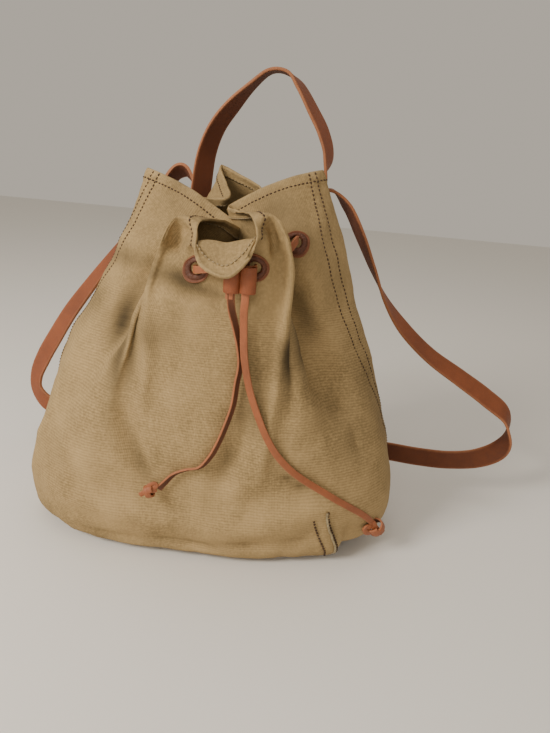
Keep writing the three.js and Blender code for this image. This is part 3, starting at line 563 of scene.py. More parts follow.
class Finish:
    """One material and its nodes."""

    def __init__(self, name):
        self.material = bpy.data.materials.new(name)
        self.material.use_nodes = True
        self.tree = self.material.node_tree
        self.shader = self.tree.nodes["Principled BSDF"]

    def node(self, kind, settings=None, inputs=None, output=0):
        node = self.tree.nodes.new(kind)
        for key, value in (settings or {}).items():
            if key == "stops":
                ramp = node.color_ramp.elements
                while len(ramp) < len(value):
                    ramp.new(0.5)
                for stop, (place, colour) in zip(ramp, value):
                    stop.position = place
                    stop.color = colour
            else:
                setattr(node, key, value)
        for key, value in (inputs or {}).items():
            self.feed(node.inputs[key], value)
        return Value(self, node.outputs[output])

    def feed(self, socket, value):
        if isinstance(value, Value):
            self.tree.links.new(value.socket, socket)
        else:
            socket.default_value = value

    def place(self, name="Object"):
        return self.node("ShaderNodeTexCoord", output=name)

    def attribute(self, name):
        return self.node("ShaderNodeAttribute", {"attribute_name": name}, output="Fac")

    def noise(self, where, scale, detail=2.0, roughness=0.5):
        return self.node("ShaderNodeTexNoise", {}, {
            "Vector": where, "Scale": scale, "Detail": detail, "Roughness": roughness}, "Fac")

    def ramp(self, value, *stops):
        grey = [(place, (level, level, level, 1)) for place, level in stops]
        return self.node("ShaderNodeValToRGB", {"stops": grey}, {"Fac": value})

    def mix(self, amount, one, other, blend="MIX"):
        return self.node("ShaderNodeMix", {"data_type": "RGBA", "blend_type": blend},
                         {"Factor": amount, 6: one, 7: other}, 2)

    def bump(self, height, distance, strength=1.0):
        return self.node("ShaderNodeBump", {}, {
            "Height": height, "Distance": distance, "Strength": strength}, "Normal")

    def shade(self, **inputs):
        for key, value in inputs.items():
            self.feed(self.shader.inputs[key.replace("_", " ")], value)
        return self.material


def times(colour, factor):
    return tuple(channel * factor for channel in colour[:3]) + (1,)


def canvas_finish(name="waxed_canvas", inside=False):
    """Waxed duck: plain weave, mottled colour, rubbed folds."""
    finish = Finish(name)
    where = finish.place()
    cloth_place = finish.place("UV")
    warp = finish.node("ShaderNodeTexWave", {"bands_direction": "X", "wave_profile": "SIN"}, {
        "Vector": cloth_place, "Scale": 240.0, "Distortion": 1.2, "Detail": 1.0, "Detail Scale": 0.6}, "Fac")
    weft = finish.node("ShaderNodeTexWave", {"bands_direction": "Y", "wave_profile": "SIN"}, {
        "Vector": cloth_place, "Scale": 240.0, "Distortion": 1.2, "Detail": 1.0, "Detail Scale": 0.6}, "Fac")
    weave = warp * 0.5 + weft * 0.5
    broad = finish.noise(where, 9.0, 3.0, 0.55)
    patch = finish.noise(where, 38.0, 4.0, 0.6)
    fleck = finish.noise(where, 420.0, 3.0, 0.6)
    wear = finish.attribute("wear")
    dirt = finish.attribute("dirt")
    main = tuple(colours().canvas)
    shade = tuple(colours().canvas_shade)
    tone = finish.ramp(broad * 0.6 + patch * 0.4, (0.36, 0.0), (0.66, 1.0))
    colour = finish.mix(tone, shade, main)
    colour = finish.mix(finish.ramp(fleck, (0.40, 0.0), (0.70, 0.50)), colour, times(main, 1.25))
    colour = finish.mix(finish.ramp(weave, (0.45, 0.0), (0.85, 0.30)), colour, times(main, 1.3))
    colour = finish.mix(finish.ramp(weave, (0.10, 0.35), (0.40, 0.0)), colour, times(shade, 0.8))
    # Painted shade: where the painted shade attribute is strong, the canvas turns towards a dark copy of its shade
    # colour
    colour = finish.mix(finish.ramp(dirt * dirt, (0.0, 0.0), (1.0, 0.94)), colour, times(shade, 0.20))
    rub = finish.ramp(wear * (0.55 + patch * 0.9), (0.25, 0.0), (1.00, 0.45))
    colour = finish.mix(rub, colour, tuple(colours().canvas_wear))
    height = weave * 0.7 + fleck * 0.3
    normal = finish.bump(height, 0.28 * MM, 0.55 if inside else 0.75)
    return finish.shade(Base_Color=colour, Roughness=0.86 - rub * 0.06, Normal=normal,
                        Specular_IOR_Level=0.22)


def leather_finish(name, colour, spread=0.75, gloss=0.48, grain=0.16, fibres=0.0):
    """Vegetable tanned leather: pores, rubbed lighter patches, fine scuffs."""
    finish = Finish(name)
    where = finish.place()
    pores = finish.node("ShaderNodeTexVoronoi", {"feature": "DISTANCE_TO_EDGE"}, {
        "Vector": where, "Scale": 900.0}, "Distance")
    broad = finish.noise(where, 24.0, 3.0, 0.6)
    fine = finish.noise(where, 260.0, 4.0, 0.65)
    tone = finish.ramp(broad * 0.65 + fine * 0.35, (0.34, 0.0), (0.68, 1.0))
    skin = finish.mix(tone, times(colour, spread), times(colour, 1.18))
    skin = finish.mix(finish.ramp(pores, (0.0, 0.22), (0.12, 0.0)), skin, times(colour, 0.6))
    wear = finish.attribute("wear")
    skin = finish.mix(finish.ramp(wear * (0.4 + fine), (0.15, 0.0), (0.9, 0.75)), skin,
                      tuple(colours().strap_edge))
    height = finish.ramp(pores, (0.0, 0.0), (0.16, 1.0)) * (1.0 - fibres) + fine * (0.35 + fibres)
    normal = finish.bump(height, grain * MM, 0.7)
    return finish.shade(Base_Color=skin, Roughness=gloss + fine * 0.16, Normal=normal,
                        Specular_IOR_Level=0.42)


def thread_finish(name, dark):
    finish = Finish(name)
    where = finish.place()
    twist = finish.noise(where, 900.0, 2.0, 0.5)
    colour = finish.mix(twist, times(dark, 0.7), times(dark, 1.8))
    return finish.shade(Base_Color=colour, Roughness=0.62, Normal=finish.bump(twist, 0.1 * MM),
                        Specular_IOR_Level=0.35)


MATERIALS = {}


def material(name):
    """The object's finishes, made once and then shared."""
    makers = {
        "canvas": canvas_finish,
        "strap": lambda: leather_finish("strap_grain", tuple(colours().strap)),
        "strap_flesh": lambda: leather_finish(
            "strap_flesh", times(tuple(colours().strap), 0.54), 0.7, 0.72, 0.3, 0.5),
        "strap_edge": lambda: leather_finish(
            "strap_edge", tuple(colours().strap_edge), 0.7, 0.6, 0.2, 0.6),
        "lace": lambda: leather_finish("lace_grain", tuple(colours().lace), 0.72, 0.40, 0.1),
        "lace_flesh": lambda: leather_finish(
            "lace_flesh", times(tuple(colours().lace), 0.35), 0.7, 0.66, 0.25, 0.5),
        "lace_edge": lambda: leather_finish(
            "lace_edge", times(tuple(colours().lace), 1.15), 0.8, 0.5, 0.15, 0.4),
        "eyelet": lambda: leather_finish("eyelet_ring", tuple(colours().eyelet), 0.6, 0.30, 0.2),
        "eyelet_edge": lambda: leather_finish(
            "eyelet_cut_edge", times(tuple(colours().lace), 0.55), 0.7, 0.5, 0.15, 0.3),
        "thread": lambda: thread_finish("waxed_thread", tuple(colours().thread)),
        "fray": lambda: thread_finish("frayed_canvas", (0.24, 0.19, 0.11, 1)),
        "thread_inside": lambda: thread_finish("thread_inside", times(tuple(colours().canvas_wear), 0.4)),
    }
    if name not in MATERIALS:
        MATERIALS[name] = makers[name]()
    return MATERIALS[name]


# Modelling helpers

def deselect():
    bpy.ops.object.select_all(action="DESELECT")


def take(piece):
    deselect()
    piece.select_set(True)
    bpy.context.view_layer.objects.active = piece


def grid_piece(name, columns, rows):
    """A grid primitive whose vertices are then placed: returns it and its vertices' shares."""
    deselect()
    bpy.ops.mesh.primitive_grid_add(x_subdivisions=columns, y_subdivisions=rows, size=1)
    piece = bpy.context.object
    piece.name = name
    piece.data.name = name
    plain = np.empty(len(piece.data.vertices) * 3)
    piece.data.vertices.foreach_get("co", plain)
    plain = plain.reshape(-1, 3)
    return piece, plain[:, 0] + 0.5, plain[:, 1] + 0.5


def place_vertices(piece, points):
    piece.data.vertices.foreach_set("co", np.ascontiguousarray(points, dtype=np.float32).ravel())
    piece.data.update()


def scale_uv(piece, across, along):
    layer = piece.data.uv_layers.active.data
    flat = np.empty(len(layer) * 2, dtype=np.float32)
    layer.foreach_get("uv", flat)
    flat = flat.reshape(-1, 2) * np.array([across, along], dtype=np.float32)
    layer.foreach_set("uv", flat.ravel())


def set_attribute(piece, name, values):
    layer = piece.data.attributes.new(name, "FLOAT", "POINT")
    layer.data.foreach_set("value", np.ascontiguousarray(values, dtype=np.float32))


def apply(piece, kind, name=None, **settings):
    modifier = piece.modifiers.new(name or kind.title(), kind)
    for key, value in settings.items():
        setattr(modifier, key, value)
    take(piece)
    bpy.ops.object.modifier_apply(modifier=modifier.name)


def finish_piece(piece, materials, nodes=()):
    for one in () if piece.data.materials else materials:
        piece.data.materials.append(material(one))
    take(piece)
    bpy.ops.object.shade_smooth()
    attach(piece, "root")
    if nodes:
        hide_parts(*nodes)
    return piece


def band(name, points, faces, width, thickness, step, across=4, bevel=0.7 * MM, cup=0.0,
         kind="lace"):
    """A strap or lace: a grid laid along a curve, given its thickness and rounded edges.

    Without faces its width stands upright."""
    points = np.asarray(points, float)
    dense = spline(points, np.linspace(0, 1, 60 * len(points)))
    length = np.linalg.norm(np.diff(dense, axis=0), axis=1).sum()
    rows = int(length / step)
    piece, side, along = grid_piece(name, across, rows)
    middle = spline(points, along)
    ahead = spline(points, np.clip(along + 1e-3, 0, 1)) - spline(points, np.clip(along - 1e-3, 0, 1))
    ahead = unit(ahead)
    if faces is None:
        look = np.cross(ahead, (0.0, 0.0, 1.0)) - np.array([0.0, 0.45, 0.0])
    else:
        look = spline(faces, along)
    look = unit(look - (look * ahead).sum(-1, keepdims=True) * ahead)
    sideways = np.cross(ahead, look)
    bow = cup * (1 - (2 * side - 1) ** 2)
    place_vertices(piece, middle + sideways * ((side - 0.5) * width)[:, None] + look * bow[:, None])
    scale_uv(piece, width, length)
    set_attribute(piece, "wear", np.abs(2 * side - 1) ** 6 * 0.8)
    flip_to(piece, look)
    for one in (kind, f"{kind}_flesh", f"{kind}_edge") if kind else ():
        piece.data.materials.append(material(one))
    apply(piece, "SOLIDIFY", thickness=thickness, offset=0.0, material_offset=1, material_offset_rim=2,
          use_even_offset=False)
    apply(piece, "BEVEL", width=bevel, segments=2, limit_method="ANGLE", angle_limit=math.radians(50))
    return piece, length


def flip_to(piece, look):
    """Faces of the grid look the way of the grain."""
    normals = np.empty(len(piece.data.vertices) * 3)
    piece.data.vertices.foreach_get("normal", normals)
    if (normals.reshape(-1, 3) * look).sum() < 0:
        piece.data.flip_normals()


# Operators

class BACKPACK_OT_stage(bpy.types.Operator):
    """Pale floor, soft lights and the camera"""

    bl_idname = "backpack.stage"
    bl_label = "Set the stage"

    def execute(self, context):
        view = context.scene.backpack_view
        deselect()
        bpy.ops.mesh.primitive_plane_add(size=6, location=(0, 0, 0))
        floor = context.object
        floor.name = "floor"
        finish = Finish("pale_floor")
        finish.shade(Base_Color=(0.78, 0.76, 0.72, 1), Roughness=0.9)
        floor.data.materials.append(finish.material)
        look = Vector((-math.sin(view.yaw) * math.cos(view.pitch),
                       math.cos(view.yaw) * math.cos(view.pitch), -math.sin(view.pitch)))
        right = Vector((math.cos(view.yaw), math.sin(view.yaw), 0))
        up = right.cross(look)
        leaned_right = right * math.cos(view.roll) + up * math.sin(view.roll)
        leaned_up = up * math.cos(view.roll) - right * math.sin(view.roll)
        bpy.ops.object.camera_add()
        camera = context.object
        camera.name = "camera"
        turn = Matrix((leaned_right, leaned_up, -look)).transposed().to_4x4()
        camera.matrix_world = Matrix.Translation(Vector(view.place)) @ turn
        camera.data.sensor_width = 36
        camera.data.lens = view.focal_pixels / 733 * camera.data.sensor_width
        context.scene.camera = camera
        self.light("key", (-0.90, -0.98, 1.00), 0.5, 23.0, (1.0, 0.93, 0.84))
        self.light("front", (0.1, -1.4, 0.5), 0.8, 4.0, (1.0, 0.95, 0.90))
        self.light("top", (-0.1, 0.2, 1.7), 1.2, 5.0, (1.0, 0.94, 0.88))
        world = context.scene.world or bpy.data.worlds.new("world")
        context.scene.world = world
        world.use_nodes = True
        background = world.node_tree.nodes["Background"]
        background.inputs["Color"].default_value = (0.97, 0.88, 0.75, 1)
        background.inputs["Strength"].default_value = 0.52
        return {"FINISHED"}

    def light(self, name, place, size, power, colour):
        bpy.ops.object.light_add(type="AREA", location=place)
        lamp = bpy.context.object
        lamp.name = name
        lamp.data.size = size
        lamp.data.energy = power
        lamp.data.color = colour
        aim = Vector((0, 0, 0.18)) - Vector(place)
        lamp.rotation_euler = aim.to_track_quat("-Z", "Y").to_euler()


class BACKPACK_OT_lace_tails(bpy.types.Operator):
    """The two free lace ends and their knots"""

    bl_idname = "backpack.lace_tails"
    bl_label = "Make the lace ends"

    def execute(self, context):
        for name, rows, away in (("left", LEFT_TAIL, (-0.93, -0.20, -0.30)),
                                 ("right", RIGHT_TAIL, (0.48, 0.44, -0.76))):
            points = np.array([row[:3] for row in rows]) * MM
            faces = np.array([(x, -math.sqrt(max(1 - x * x - z * z, 0.01)), z) for *_, x, z in rows])
            # Painted shade: the left end is turned over so its dark flesh side faces front, standing in for the grain
            # in shade
            if name == "left":
                faces = -faces
            tail, length = band(f"lace_end_{name}", points, faces, sizes().lace_width,
                                sizes().lace_thickness, 1.6 * MM, 4, 0.5 * MM, 0.25 * MM)
            finish_piece(tail, ("lace", "lace_flesh", "lace_edge"), (f"lace_tail_{name}",))
            knot = self.knot(name, points[-1], unit(np.array(away, float)))
            path = spline(points, np.linspace(0, 1, 120))
        return {"FINISHED"}

    def knot(self, name, end, away):
        """A turn of lace round itself, its cut end ahead and a small bight beside it."""
        out = unit(np.array([0.0, -1.0, 0.0]) + np.array([0.5, 0, 0]) * (name == "right"))
        out = unit(out - (out @ away) * away)
        side = np.cross(away, out)
        scale = 1.35 if name == "right" else 0.9
        centre = end + away * 8 * MM

        def place(ahead, sideways, outward):
            return centre + (away * ahead + side * sideways + out * outward) * scale * MM

        turn = np.linspace(-0.7, 2 * math.pi * 1.25, 26)
        lean = np.linspace(1.8, -1.8, 26) + 1.2 * np.sin(turn)
        ring = [place(a, 5.4 * math.cos(t), 3.9 * math.sin(t)) for a, t in zip(lean, turn)]
        ring_faces = [side * math.cos(t) + out * math.sin(t) for t in turn]
        tip = [place(a, s, o) for a, s, o in ((-7, 0, 0), (-3, 0.6, 1.2), (2, 0.8, 1.4), (6, 0.2, 0.6), (10.5, -1.4, 0.2))]
        bight = [place(a, s, o) for a, s, o in (
            (3, 1, -1.5), (1, 5, 0.5), (-3.5, 7.6, 1.0), (-8, 7.0, 1.0), (-8.5, 4.6, 1.0), (-4, 2.5, 0.8))]
        pieces = []
        for count, (points, faces, width) in enumerate((
                (ring, ring_faces, 5.6), (tip, [out] * len(tip), 4.8), (bight, [out + away * 0.3] * len(bight), 3.4))):
            piece, _ = band(f"knot_{name}_{count}", points, faces, width * scale * MM, 1.9 * MM, 0.9 * MM, 4,
                            0.5 * MM, 0.3 * MM)
            pieces.append(piece)
        deselect()
        for piece in pieces:
            piece.select_set(True)
        bpy.context.view_layer.objects.active = pieces[0]
        bpy.ops.object.join()
        pieces[0].name = f"knot_{name}"
        return finish_piece(pieces[0], ("lace", "lace_flesh", "lace_edge"),
                            (f"lace_knot_{name}",))


class BACKPACK_OT_canvas(bpy.types.Operator):
    """The canvas bag with its hem, seams and folds"""

    bl_idname = "backpack.canvas"
    bl_label = "Make the canvas"

    def execute(self, context):
        columns = 400
        stations = np.concatenate([
            np.linspace(0, 0.06, 8, endpoint=False), np.linspace(0.06, 0.66, 34, endpoint=False),
            np.linspace(0.66, 0.86, 26, endpoint=False), np.linspace(0.86, 0.988, 26, endpoint=False),
            np.linspace(0.988, 1.0, 5)])
        body, at, row = grid_piece("canvas_bag", columns, len(stations) - 1)
        up = np.interp(row * (len(stations) - 1), np.arange(len(stations)), stations)
        points, normal = worn_cloth(at, up)
        roll = np.clip((up - 0.985) / 0.015, 0, 1)
        points -= normal * (1.0 * MM * (1 - np.sqrt(1 - roll ** 2 * 0.96)))[:, None]
        points[:, 2] = np.maximum(points[:, 2], 0) * (up > 0)
        points = lift_corner(points, at, up)
        place_vertices(body, points)
        scale_uv(body, GIRTH, CLOTH_RISE)
        seam = sum(bump(np.mod(at, 1) - seam_at(side, row_count, up), 0.004)
                   for side in SEAMS for row_count in (0, 1))
        edge = np.clip((up - 0.975) / 0.02, 0, 1)
        set_attribute(body, "wear", np.clip(0.45 * edge + 0.25 * seam * (up > 0.1), 0, 1))
        around = np.mod(at, 1.0)
        # Painted shade: darker towards the base, then along each listed fold and hollow line, with a slight random
        # mottle
        shade = 0.60 * bump(up, 0.13)
        for _, width, strength, places in PAINTED_SHADES:
            shade = np.maximum(shade, strength * dent(around, up, np.array(places), width * MM))
        shade += 0.10 * ripples(points, 0.06, 11)
        set_attribute(body, "dirt", np.clip(shade, 0, 1))
        thick = body.vertex_groups.new(name="thick")
        step = np.clip((up - hem_line(at, 1.15)) / (hem_line(at) - hem_line(at, 1.15)), 0, 1)
        for level in range(11):
            near = np.where(np.abs(step - level / 10) <= 0.05001)[0]
            if len(near):
                thick.add([int(i) for i in near], level / 10, "REPLACE")
        take(body)
        bpy.ops.object.mode_set(mode="EDIT")
        bpy.ops.mesh.select_all(action="SELECT")
        bpy.ops.mesh.remove_doubles(threshold=0.01 * MM)
        bpy.ops.mesh.select_all(action="DESELECT")
        bpy.ops.object.mode_set(mode="OBJECT")
        self.close_base(body)
        apply(body, "SOLIDIFY", thickness=3.0 * MM, offset=-1.0, vertex_group="thick",
              thickness_vertex_group=sizes().cloth_wall / (3.0 * MM), use_even_offset=False)
        finish_piece(body, ("canvas",), ("canvas_body",))
        return {"FINISHED"}

    def close_base(self, body):
        """Base: the lowest ring filled with rings of faces towards its middle."""
        mesh = bmesh.new()
        mesh.from_mesh(body.data)
        uv = mesh.loops.layers.uv.active
        ring = [edge for edge in mesh.edges if edge.is_boundary and edge.verts[0].co.z < 80 * MM]
        middle = sum((edge.verts[0].co for edge in ring), Vector()) / len(ring)
        base = []
        for share in (0.94, 0.86, 0.7, 0.5, 0.3, 0.12):
            made = bmesh.ops.extrude_edge_only(mesh, edges=ring)["geom"]
            ring = [item for item in made if isinstance(item, bmesh.types.BMEdge) and item.is_boundary]
            verts = {v for edge in ring for v in edge.verts}
            previous = getattr(self, "_share", 1.0)
            for vert in verts:
                lift = vert.co.z * (share / previous) ** 6
                vert.co = middle + (vert.co - middle) * (share / previous)
                vert.co.z = lift
            self._share = share
            base += [item for item in made if isinstance(item, bmesh.types.BMFace)]
        made = bmesh.ops.contextual_create(mesh, geom=ring)
        base += made["faces"]
        bmesh.ops.recalc_face_normals(mesh, faces=mesh.faces)
        for face in mesh.faces:
            if abs(face.normal.z) > 0.9 and face.calc_center_median().z < 0.1 * MM:
                for loop in face.loops:
                    loop[uv].uv = (loop.vert.co.x, loop.vert.co.y)
        mesh.to_mesh(body.data)
        mesh.free()
        body.data.update()


class BACKPACK_OT_stitches(bpy.types.Operator):
    """Rows of thread along the hem and the felled seams"""

    bl_idname = "backpack.stitches"
    bl_label = "Sew the rows"

    def execute(self, context):
        round_mouth = np.linspace(0, 1, 3000)
        rows = [("hem", round_mouth, hem_line(round_mouth, 0.85))]
        up = np.linspace(0.997, 0.10, 900)
        for side in SEAMS:
            for row in (0, 1):
                rows.append((f"seam_{side}_{row + 1}", seam_at(side, row, up), up))
        for row, places in enumerate(CORNER_ROWS, 1):
            share = np.linspace(0, 1, 200)
            line = spline(np.array([place + (0,) for place in places]), share)
            rows.append((f"corner_row_{row}", line[:, 0], line[:, 1]))
        for name, at, up in rows:
            points, normal = worn_cloth(at, up)
            points = lift_corner(points, at, up)
            heavy = name.startswith("corner")
            stitch_row(f"stitches_{name}", points, normal, thickness=(2.1 if heavy else 1.55) * MM)
            if name == "corner_row_2":
                self.fray(points, normal)
        points, normal = worn_cloth(round_mouth, hem_line(round_mouth, 0.85))
        stitch_row("stitches_hem_inside", points - normal * 3.3 * MM, -normal, thread="thread_inside")
        return {"FINISHED"}

    def fray(self, points, normal):
        """The raw, frayed edge of the tape beside the outer corner row."""
        dice = np.random.default_rng(4)
        ahead = unit(np.gradient(points, axis=0))
        side = np.cross(normal, ahead)
        wander = np.convolve(dice.normal(0, 1.0, len(points)), np.ones(7) / 7, "same")
        middle = points - side * (1.9 * MM + wander * 0.5 * MM)[:, None] + normal * 0.9 * MM
        look = unit(normal * 0.8 - side * 0.5)
        strip, _ = band("frayed_edge", middle[::8], look[::8], 2.0 * MM, 1.1 * MM, 0.7 * MM, 4, 0.3 * MM,
                        kind=None)
        verts = np.empty(len(strip.data.vertices) * 3)
        strip.data.vertices.foreach_get("co", verts)
        verts += dice.normal(0, 0.16 * MM, len(verts))
        strip.data.vertices.foreach_set("co", verts)
        finish_piece(strip, ("fray", "fray", "fray"))


CORNER_ROWS = (
    ((0.119, 0.240), (0.122, 0.215), (0.128, 0.180), (0.136, 0.140), (0.143, 0.090)),
    ((0.133, 0.262), (0.136, 0.225), (0.142, 0.190), (0.149, 0.150), (0.153, 0.100)),
)


def stitch_row(name, points, normals, stand=0.12 * MM, thickness=1.25 * MM, size=0.74, thread="thread"):
    """One mesh of short thread lumps laid along a line."""
    pitch = sizes().stitch_pitch
    share = evenly(points, pitch)
    index = share * (len(points) - 1)
    low = np.clip(np.floor(index).astype(int), 1, len(points) - 2)
    middle = points[low]
    ahead = unit(points[low + 1] - points[low - 1])
    up = unit(normals[low])
    side = np.cross(ahead, up)
    rings = ((-0.5, 0.35), (-0.36, 0.85), (0.0, 1.0), (0.36, 0.85), (0.5, 0.35))
    sides = 6
    vertices, faces = [], []
    for m, a, u, s in zip(middle, ahead, up, side):
        start = len(vertices)
        for along, girth in rings:
            sink = -0.35 * thickness * (abs(along) / 0.5) ** 2
            for k in range(sides):
                angle = 2 * math.pi * k / sides
                r = thickness / 2 * girth
                vertices.append(m + a * along * pitch * size + s * math.cos(angle) * r
                                + u * (math.sin(angle) * r + sink + stand + thickness * 0.1))
        for ring in range(len(rings) - 1):
            for k in range(sides):
                one = start + ring * sides + k
                two = start + ring * sides + (k + 1) % sides
                faces.append((one, one + sides, two + sides, two))
        faces.append(tuple(start + k for k in range(sides)))
        faces.append(tuple(start + (len(rings) - 1) * sides + k for k in reversed(range(sides))))
    mesh = bpy.data.meshes.new(name)
    mesh.from_pydata([tuple(v) for v in vertices], [], faces)
    piece = bpy.data.objects.new(name, mesh)
    bpy.context.collection.objects.link(piece)
    return finish_piece(piece, (thread,))


# Each eyelet's place round and up the cloth; the two in front sit half under the lip
EYELETS = tuple((fold[1], LACE_LINE) for fold in FOLDS if fold[5])
EYELETS = ((0.037, 0.790),) + EYELETS[1:7] + ((0.828, LACE_LINE), EYELETS[8], (0.965, 0.785))


class BACKPACK_OT_eyelets(bpy.types.Operator):
    """Leather rings sewn round the lace holes"""

    bl_idname = "backpack.eyelets"
    bl_label = "Make the eyelets"

    def execute(self, context):
        for number, (at, height) in enumerate(EYELETS, 1):
            self.ring(number, at, height)
        return {"FINISHED"}

    def ring(self, number, at, place):
        """The ring follows the cloth: a grid of radius and angle laid on it."""
        profile = ((4.6, -1.2), (4.5, 0.3), (4.8, 1.5), (5.6, 2.3), (6.6, 2.5), (7.6, 2.2), (8.4, 1.6),
                   (8.7, 1.2), (9.1, 1.4), (9.7, 1.8), (10.3, 1.7), (10.6, 1.2), (10.6, 0.2))
        turns = 48
        piece, turn, share = grid_piece(f"eyelet_ring_{number}", turns, len(profile) - 1)
        radius = np.interp(share * (len(profile) - 1), np.arange(len(profile)), [p[0] for p in profile]) * MM
        height = np.interp(share * (len(profile) - 1), np.arange(len(profile)), [p[1] for p in profile]) * MM
        angle = turn * 2 * math.pi
        step = 0.002
        here = np.array([at])
        across = (cloth(here + step, place) - cloth(here - step, place))[0] / (2 * step)
        along = (cloth(here, place + step) - cloth(here, place - step))[0] / (2 * step)
        first = unit(across)
        second = np.cross(cloth_normal(here, place)[0], first)
        grid = np.array([[across @ first, along @ first], [across @ second, along @ second]])
        shift = np.linalg.solve(grid, np.stack([radius * np.cos(angle), radius * np.sin(angle)]))
        around = at + shift[0]
        up = place + shift[1]
        points, normal = worn_cloth(around, up)
        pucker = 0.28 * MM * np.cos(angle * 16) * bump(radius - 6.9 * MM, 1.6 * MM)
        place_vertices(piece, points + normal * (height + pucker)[:, None])
        set_attribute(piece, "wear", bump(radius - 10.4 * MM, 0.5 * MM) * 0.6)
        outer = radius > 8.6 * MM
        for polygon in piece.data.polygons:
            polygon.material_index = int(all(outer[v] for v in polygon.vertices))
        take(piece)
        bpy.ops.object.mode_set(mode="EDIT")
        bpy.ops.mesh.select_all(action="SELECT")
        bpy.ops.mesh.remove_doubles(threshold=0.01 * MM)
        bpy.ops.mesh.normals_make_consistent(inside=False)
        bpy.ops.object.mode_set(mode="OBJECT")
        finish_piece(piece, ("eyelet", "eyelet_edge"), (f"eyelet_{number}",))


KEEPER = np.array([0.081, -0.572, 0.764]) * BAG
KEEPER_HEIGHT = 20 * MM
KEEPER_PITCH = 12.2 * MM


class BACKPACK_OT_lace_loop(bpy.types.Operator):
    """The lace held in the eyelets"""

    bl_idname = "backpack.lace_loop"
    bl_label = "Thread the lace"

    def execute(self, context):
        stand = 5.0 * MM
        lanes = (-0.9, 0, 1, 1.35)
        points = [KEEPER + (KEEPER_PITCH / 2, 0, height * KEEPER_HEIGHT / 2) for height in lanes]
        for count, (at, height) in enumerate(EYELETS):
            first = 1 if count % 2 == 0 else -1
            here = cloth(np.array([at]), height)[0]
            look = cloth_normal(np.array([at]), height)[0]
            points += [here + look * stand * first, here - look * stand * first]
        points += [KEEPER + (-KEEPER_PITCH / 2, 0, height * KEEPER_HEIGHT / 2) for height in reversed(lanes)]
        lace, _ = band("lace_through_eyelets", points, None, 5.6 * MM, 1.9 * MM, 1.8 * MM, 4, 0.5 * MM)
        finish_piece(lace, ("lace", "lace_flesh", "lace_edge"), ("drawstring_loop",))
        return {"FINISHED"}


class BACKPACK_OT_keeper(bpy.types.Operator):
    """The leather figure of eight that holds the lace"""

    bl_idname = "backpack.keeper"
    bl_label = "Make the keeper"

    def execute(self, context):
        tubes = []
        for side, lift in ((-1, 6.0 * MM), (1, 6.6 * MM)):
            place = KEEPER + np.array([side * KEEPER_PITCH / 2 + 1.4 * MM, 0, lift])
            bpy.ops.mesh.primitive_cylinder_add(
                vertices=40, radius=1, depth=KEEPER_HEIGHT, end_fill_type="NOTHING", location=tuple(place))
            tube = bpy.context.object
            tube.scale = (6.3 * MM, 4.9 * MM, 1)
            bpy.ops.object.transform_apply(location=True, rotation=True, scale=True)
            tubes.append(tube)
        deselect()
        for tube in tubes:
            tube.select_set(True)
        bpy.context.view_layer.objects.active = tubes[0]
        bpy.ops.object.join()
        keeper = tubes[0]
        keeper.name = "lace_keeper"
        apply(keeper, "SOLIDIFY", thickness=1.7 * MM, offset=-1.0, material_offset=1, material_offset_rim=2)
        apply(keeper, "BEVEL", width=0.5 * MM, segments=2, limit_method="ANGLE", angle_limit=math.radians(50))
        finish_piece(keeper, ("strap", "lace_flesh", "lace_edge"), ("cord_keeper",))
        return {"FINISHED"}


def strap_route(rows, place, stand):
    """Middle points of a strap and the way its grain looks."""
    points, faces = [], []
    for kind, where, look in rows:
        if kind == "sewn":
            point, normal = worn_cloth(np.array([where[0]]), np.array([where[1]]))
            points.append(point[0] + normal[0] * stand)
            faces.append(normal[0] * look)
        else:
            points.append(place(where))
            faces.append(unit(np.array(look, float)))
    return points, faces


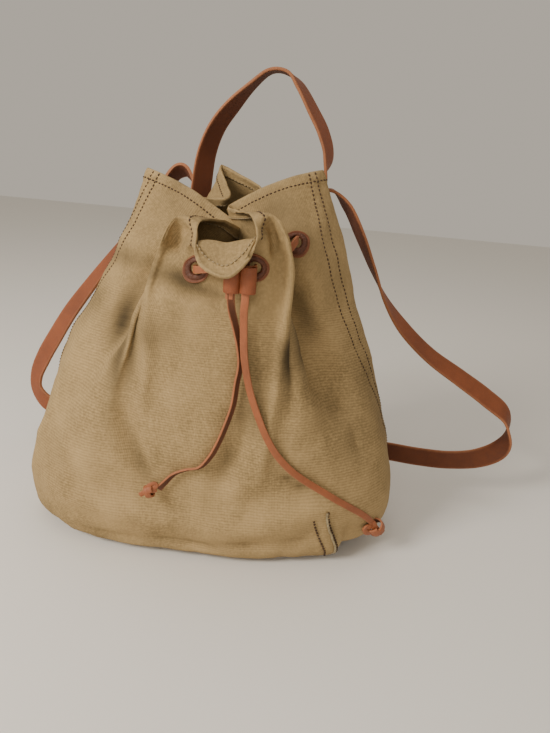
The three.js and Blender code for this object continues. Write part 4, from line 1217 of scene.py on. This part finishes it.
class BACKPACK_OT_straps(bpy.types.Operator):
    """Shoulder straps and the carry handle"""

    bl_idname = "backpack.straps"
    bl_label = "Make the straps"

    def execute(self, context):
        def reach(where):
            return np.array([where[0] * STRAP_REACH, where[1] * BAG_DEPTH, where[2] * BAG_HEIGHT])

        def rise(where):
            return np.array([where[0] * HANDLE_SPAN, where[1] * BAG_DEPTH,
                             HANDLE_FOOT * BAG_HEIGHT + where[2] * HANDLE_RISE])

        width, thickness = sizes().strap_width, sizes().strap_thickness
        for name, rows, place, node in (
                ("strap_left", LEFT_STRAP, reach, "shoulder_strap_left"),
                ("strap_right", RIGHT_STRAP, reach, "shoulder_strap_right"),
                ("handle", HANDLE, rise, "carry_handle")):
            points, faces = strap_route(rows, place, 0.3 * MM + thickness / 2)
            strap, _ = band(name, points, faces, width, thickness, 2.5 * MM, 8, 0.9 * MM, kind="strap")
            finish_piece(strap, ("strap", "strap_flesh", "strap_edge"), (node,))
        return {"FINISHED"}


class BACKPACK_PT_panel(bpy.types.Panel):
    """Pieces of the backpack"""

    bl_idname = "BACKPACK_PT_panel"
    bl_label = "Backpack"
    bl_space_type = "VIEW_3D"
    bl_region_type = "UI"
    bl_category = "Backpack"

    def draw(self, context):
        for operator in OPERATORS:
            self.layout.operator(operator.bl_idname)


OPERATORS = (
    BACKPACK_OT_stage,
    BACKPACK_OT_lace_tails,
    BACKPACK_OT_canvas,
    BACKPACK_OT_stitches,
    BACKPACK_OT_eyelets,
    BACKPACK_OT_lace_loop,
    BACKPACK_OT_keeper,
    BACKPACK_OT_straps,
)
GROUPS = (BACKPACK_sizes, BACKPACK_colours, BACKPACK_view)


def register():
    for group in GROUPS + OPERATORS + (BACKPACK_PT_panel,):
        bpy.utils.register_class(group)
    bpy.types.Scene.backpack_sizes = bpy.props.PointerProperty(type=BACKPACK_sizes)
    bpy.types.Scene.backpack_colours = bpy.props.PointerProperty(type=BACKPACK_colours)
    bpy.types.Scene.backpack_view = bpy.props.PointerProperty(type=BACKPACK_view)


def unregister():
    del bpy.types.Scene.backpack_sizes
    del bpy.types.Scene.backpack_colours
    del bpy.types.Scene.backpack_view
    for group in reversed(GROUPS + OPERATORS + (BACKPACK_PT_panel,)):
        bpy.utils.unregister_class(group)


def main():
    register()
    bpy.ops.backpack.stage()
    bpy.ops.backpack.lace_tails()
    bpy.ops.backpack.canvas()
    bpy.ops.backpack.stitches()
    bpy.ops.backpack.eyelets()
    bpy.ops.backpack.lace_loop()
    bpy.ops.backpack.keeper()
    bpy.ops.backpack.straps()
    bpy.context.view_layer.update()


if __name__ == "__main__":
    main()
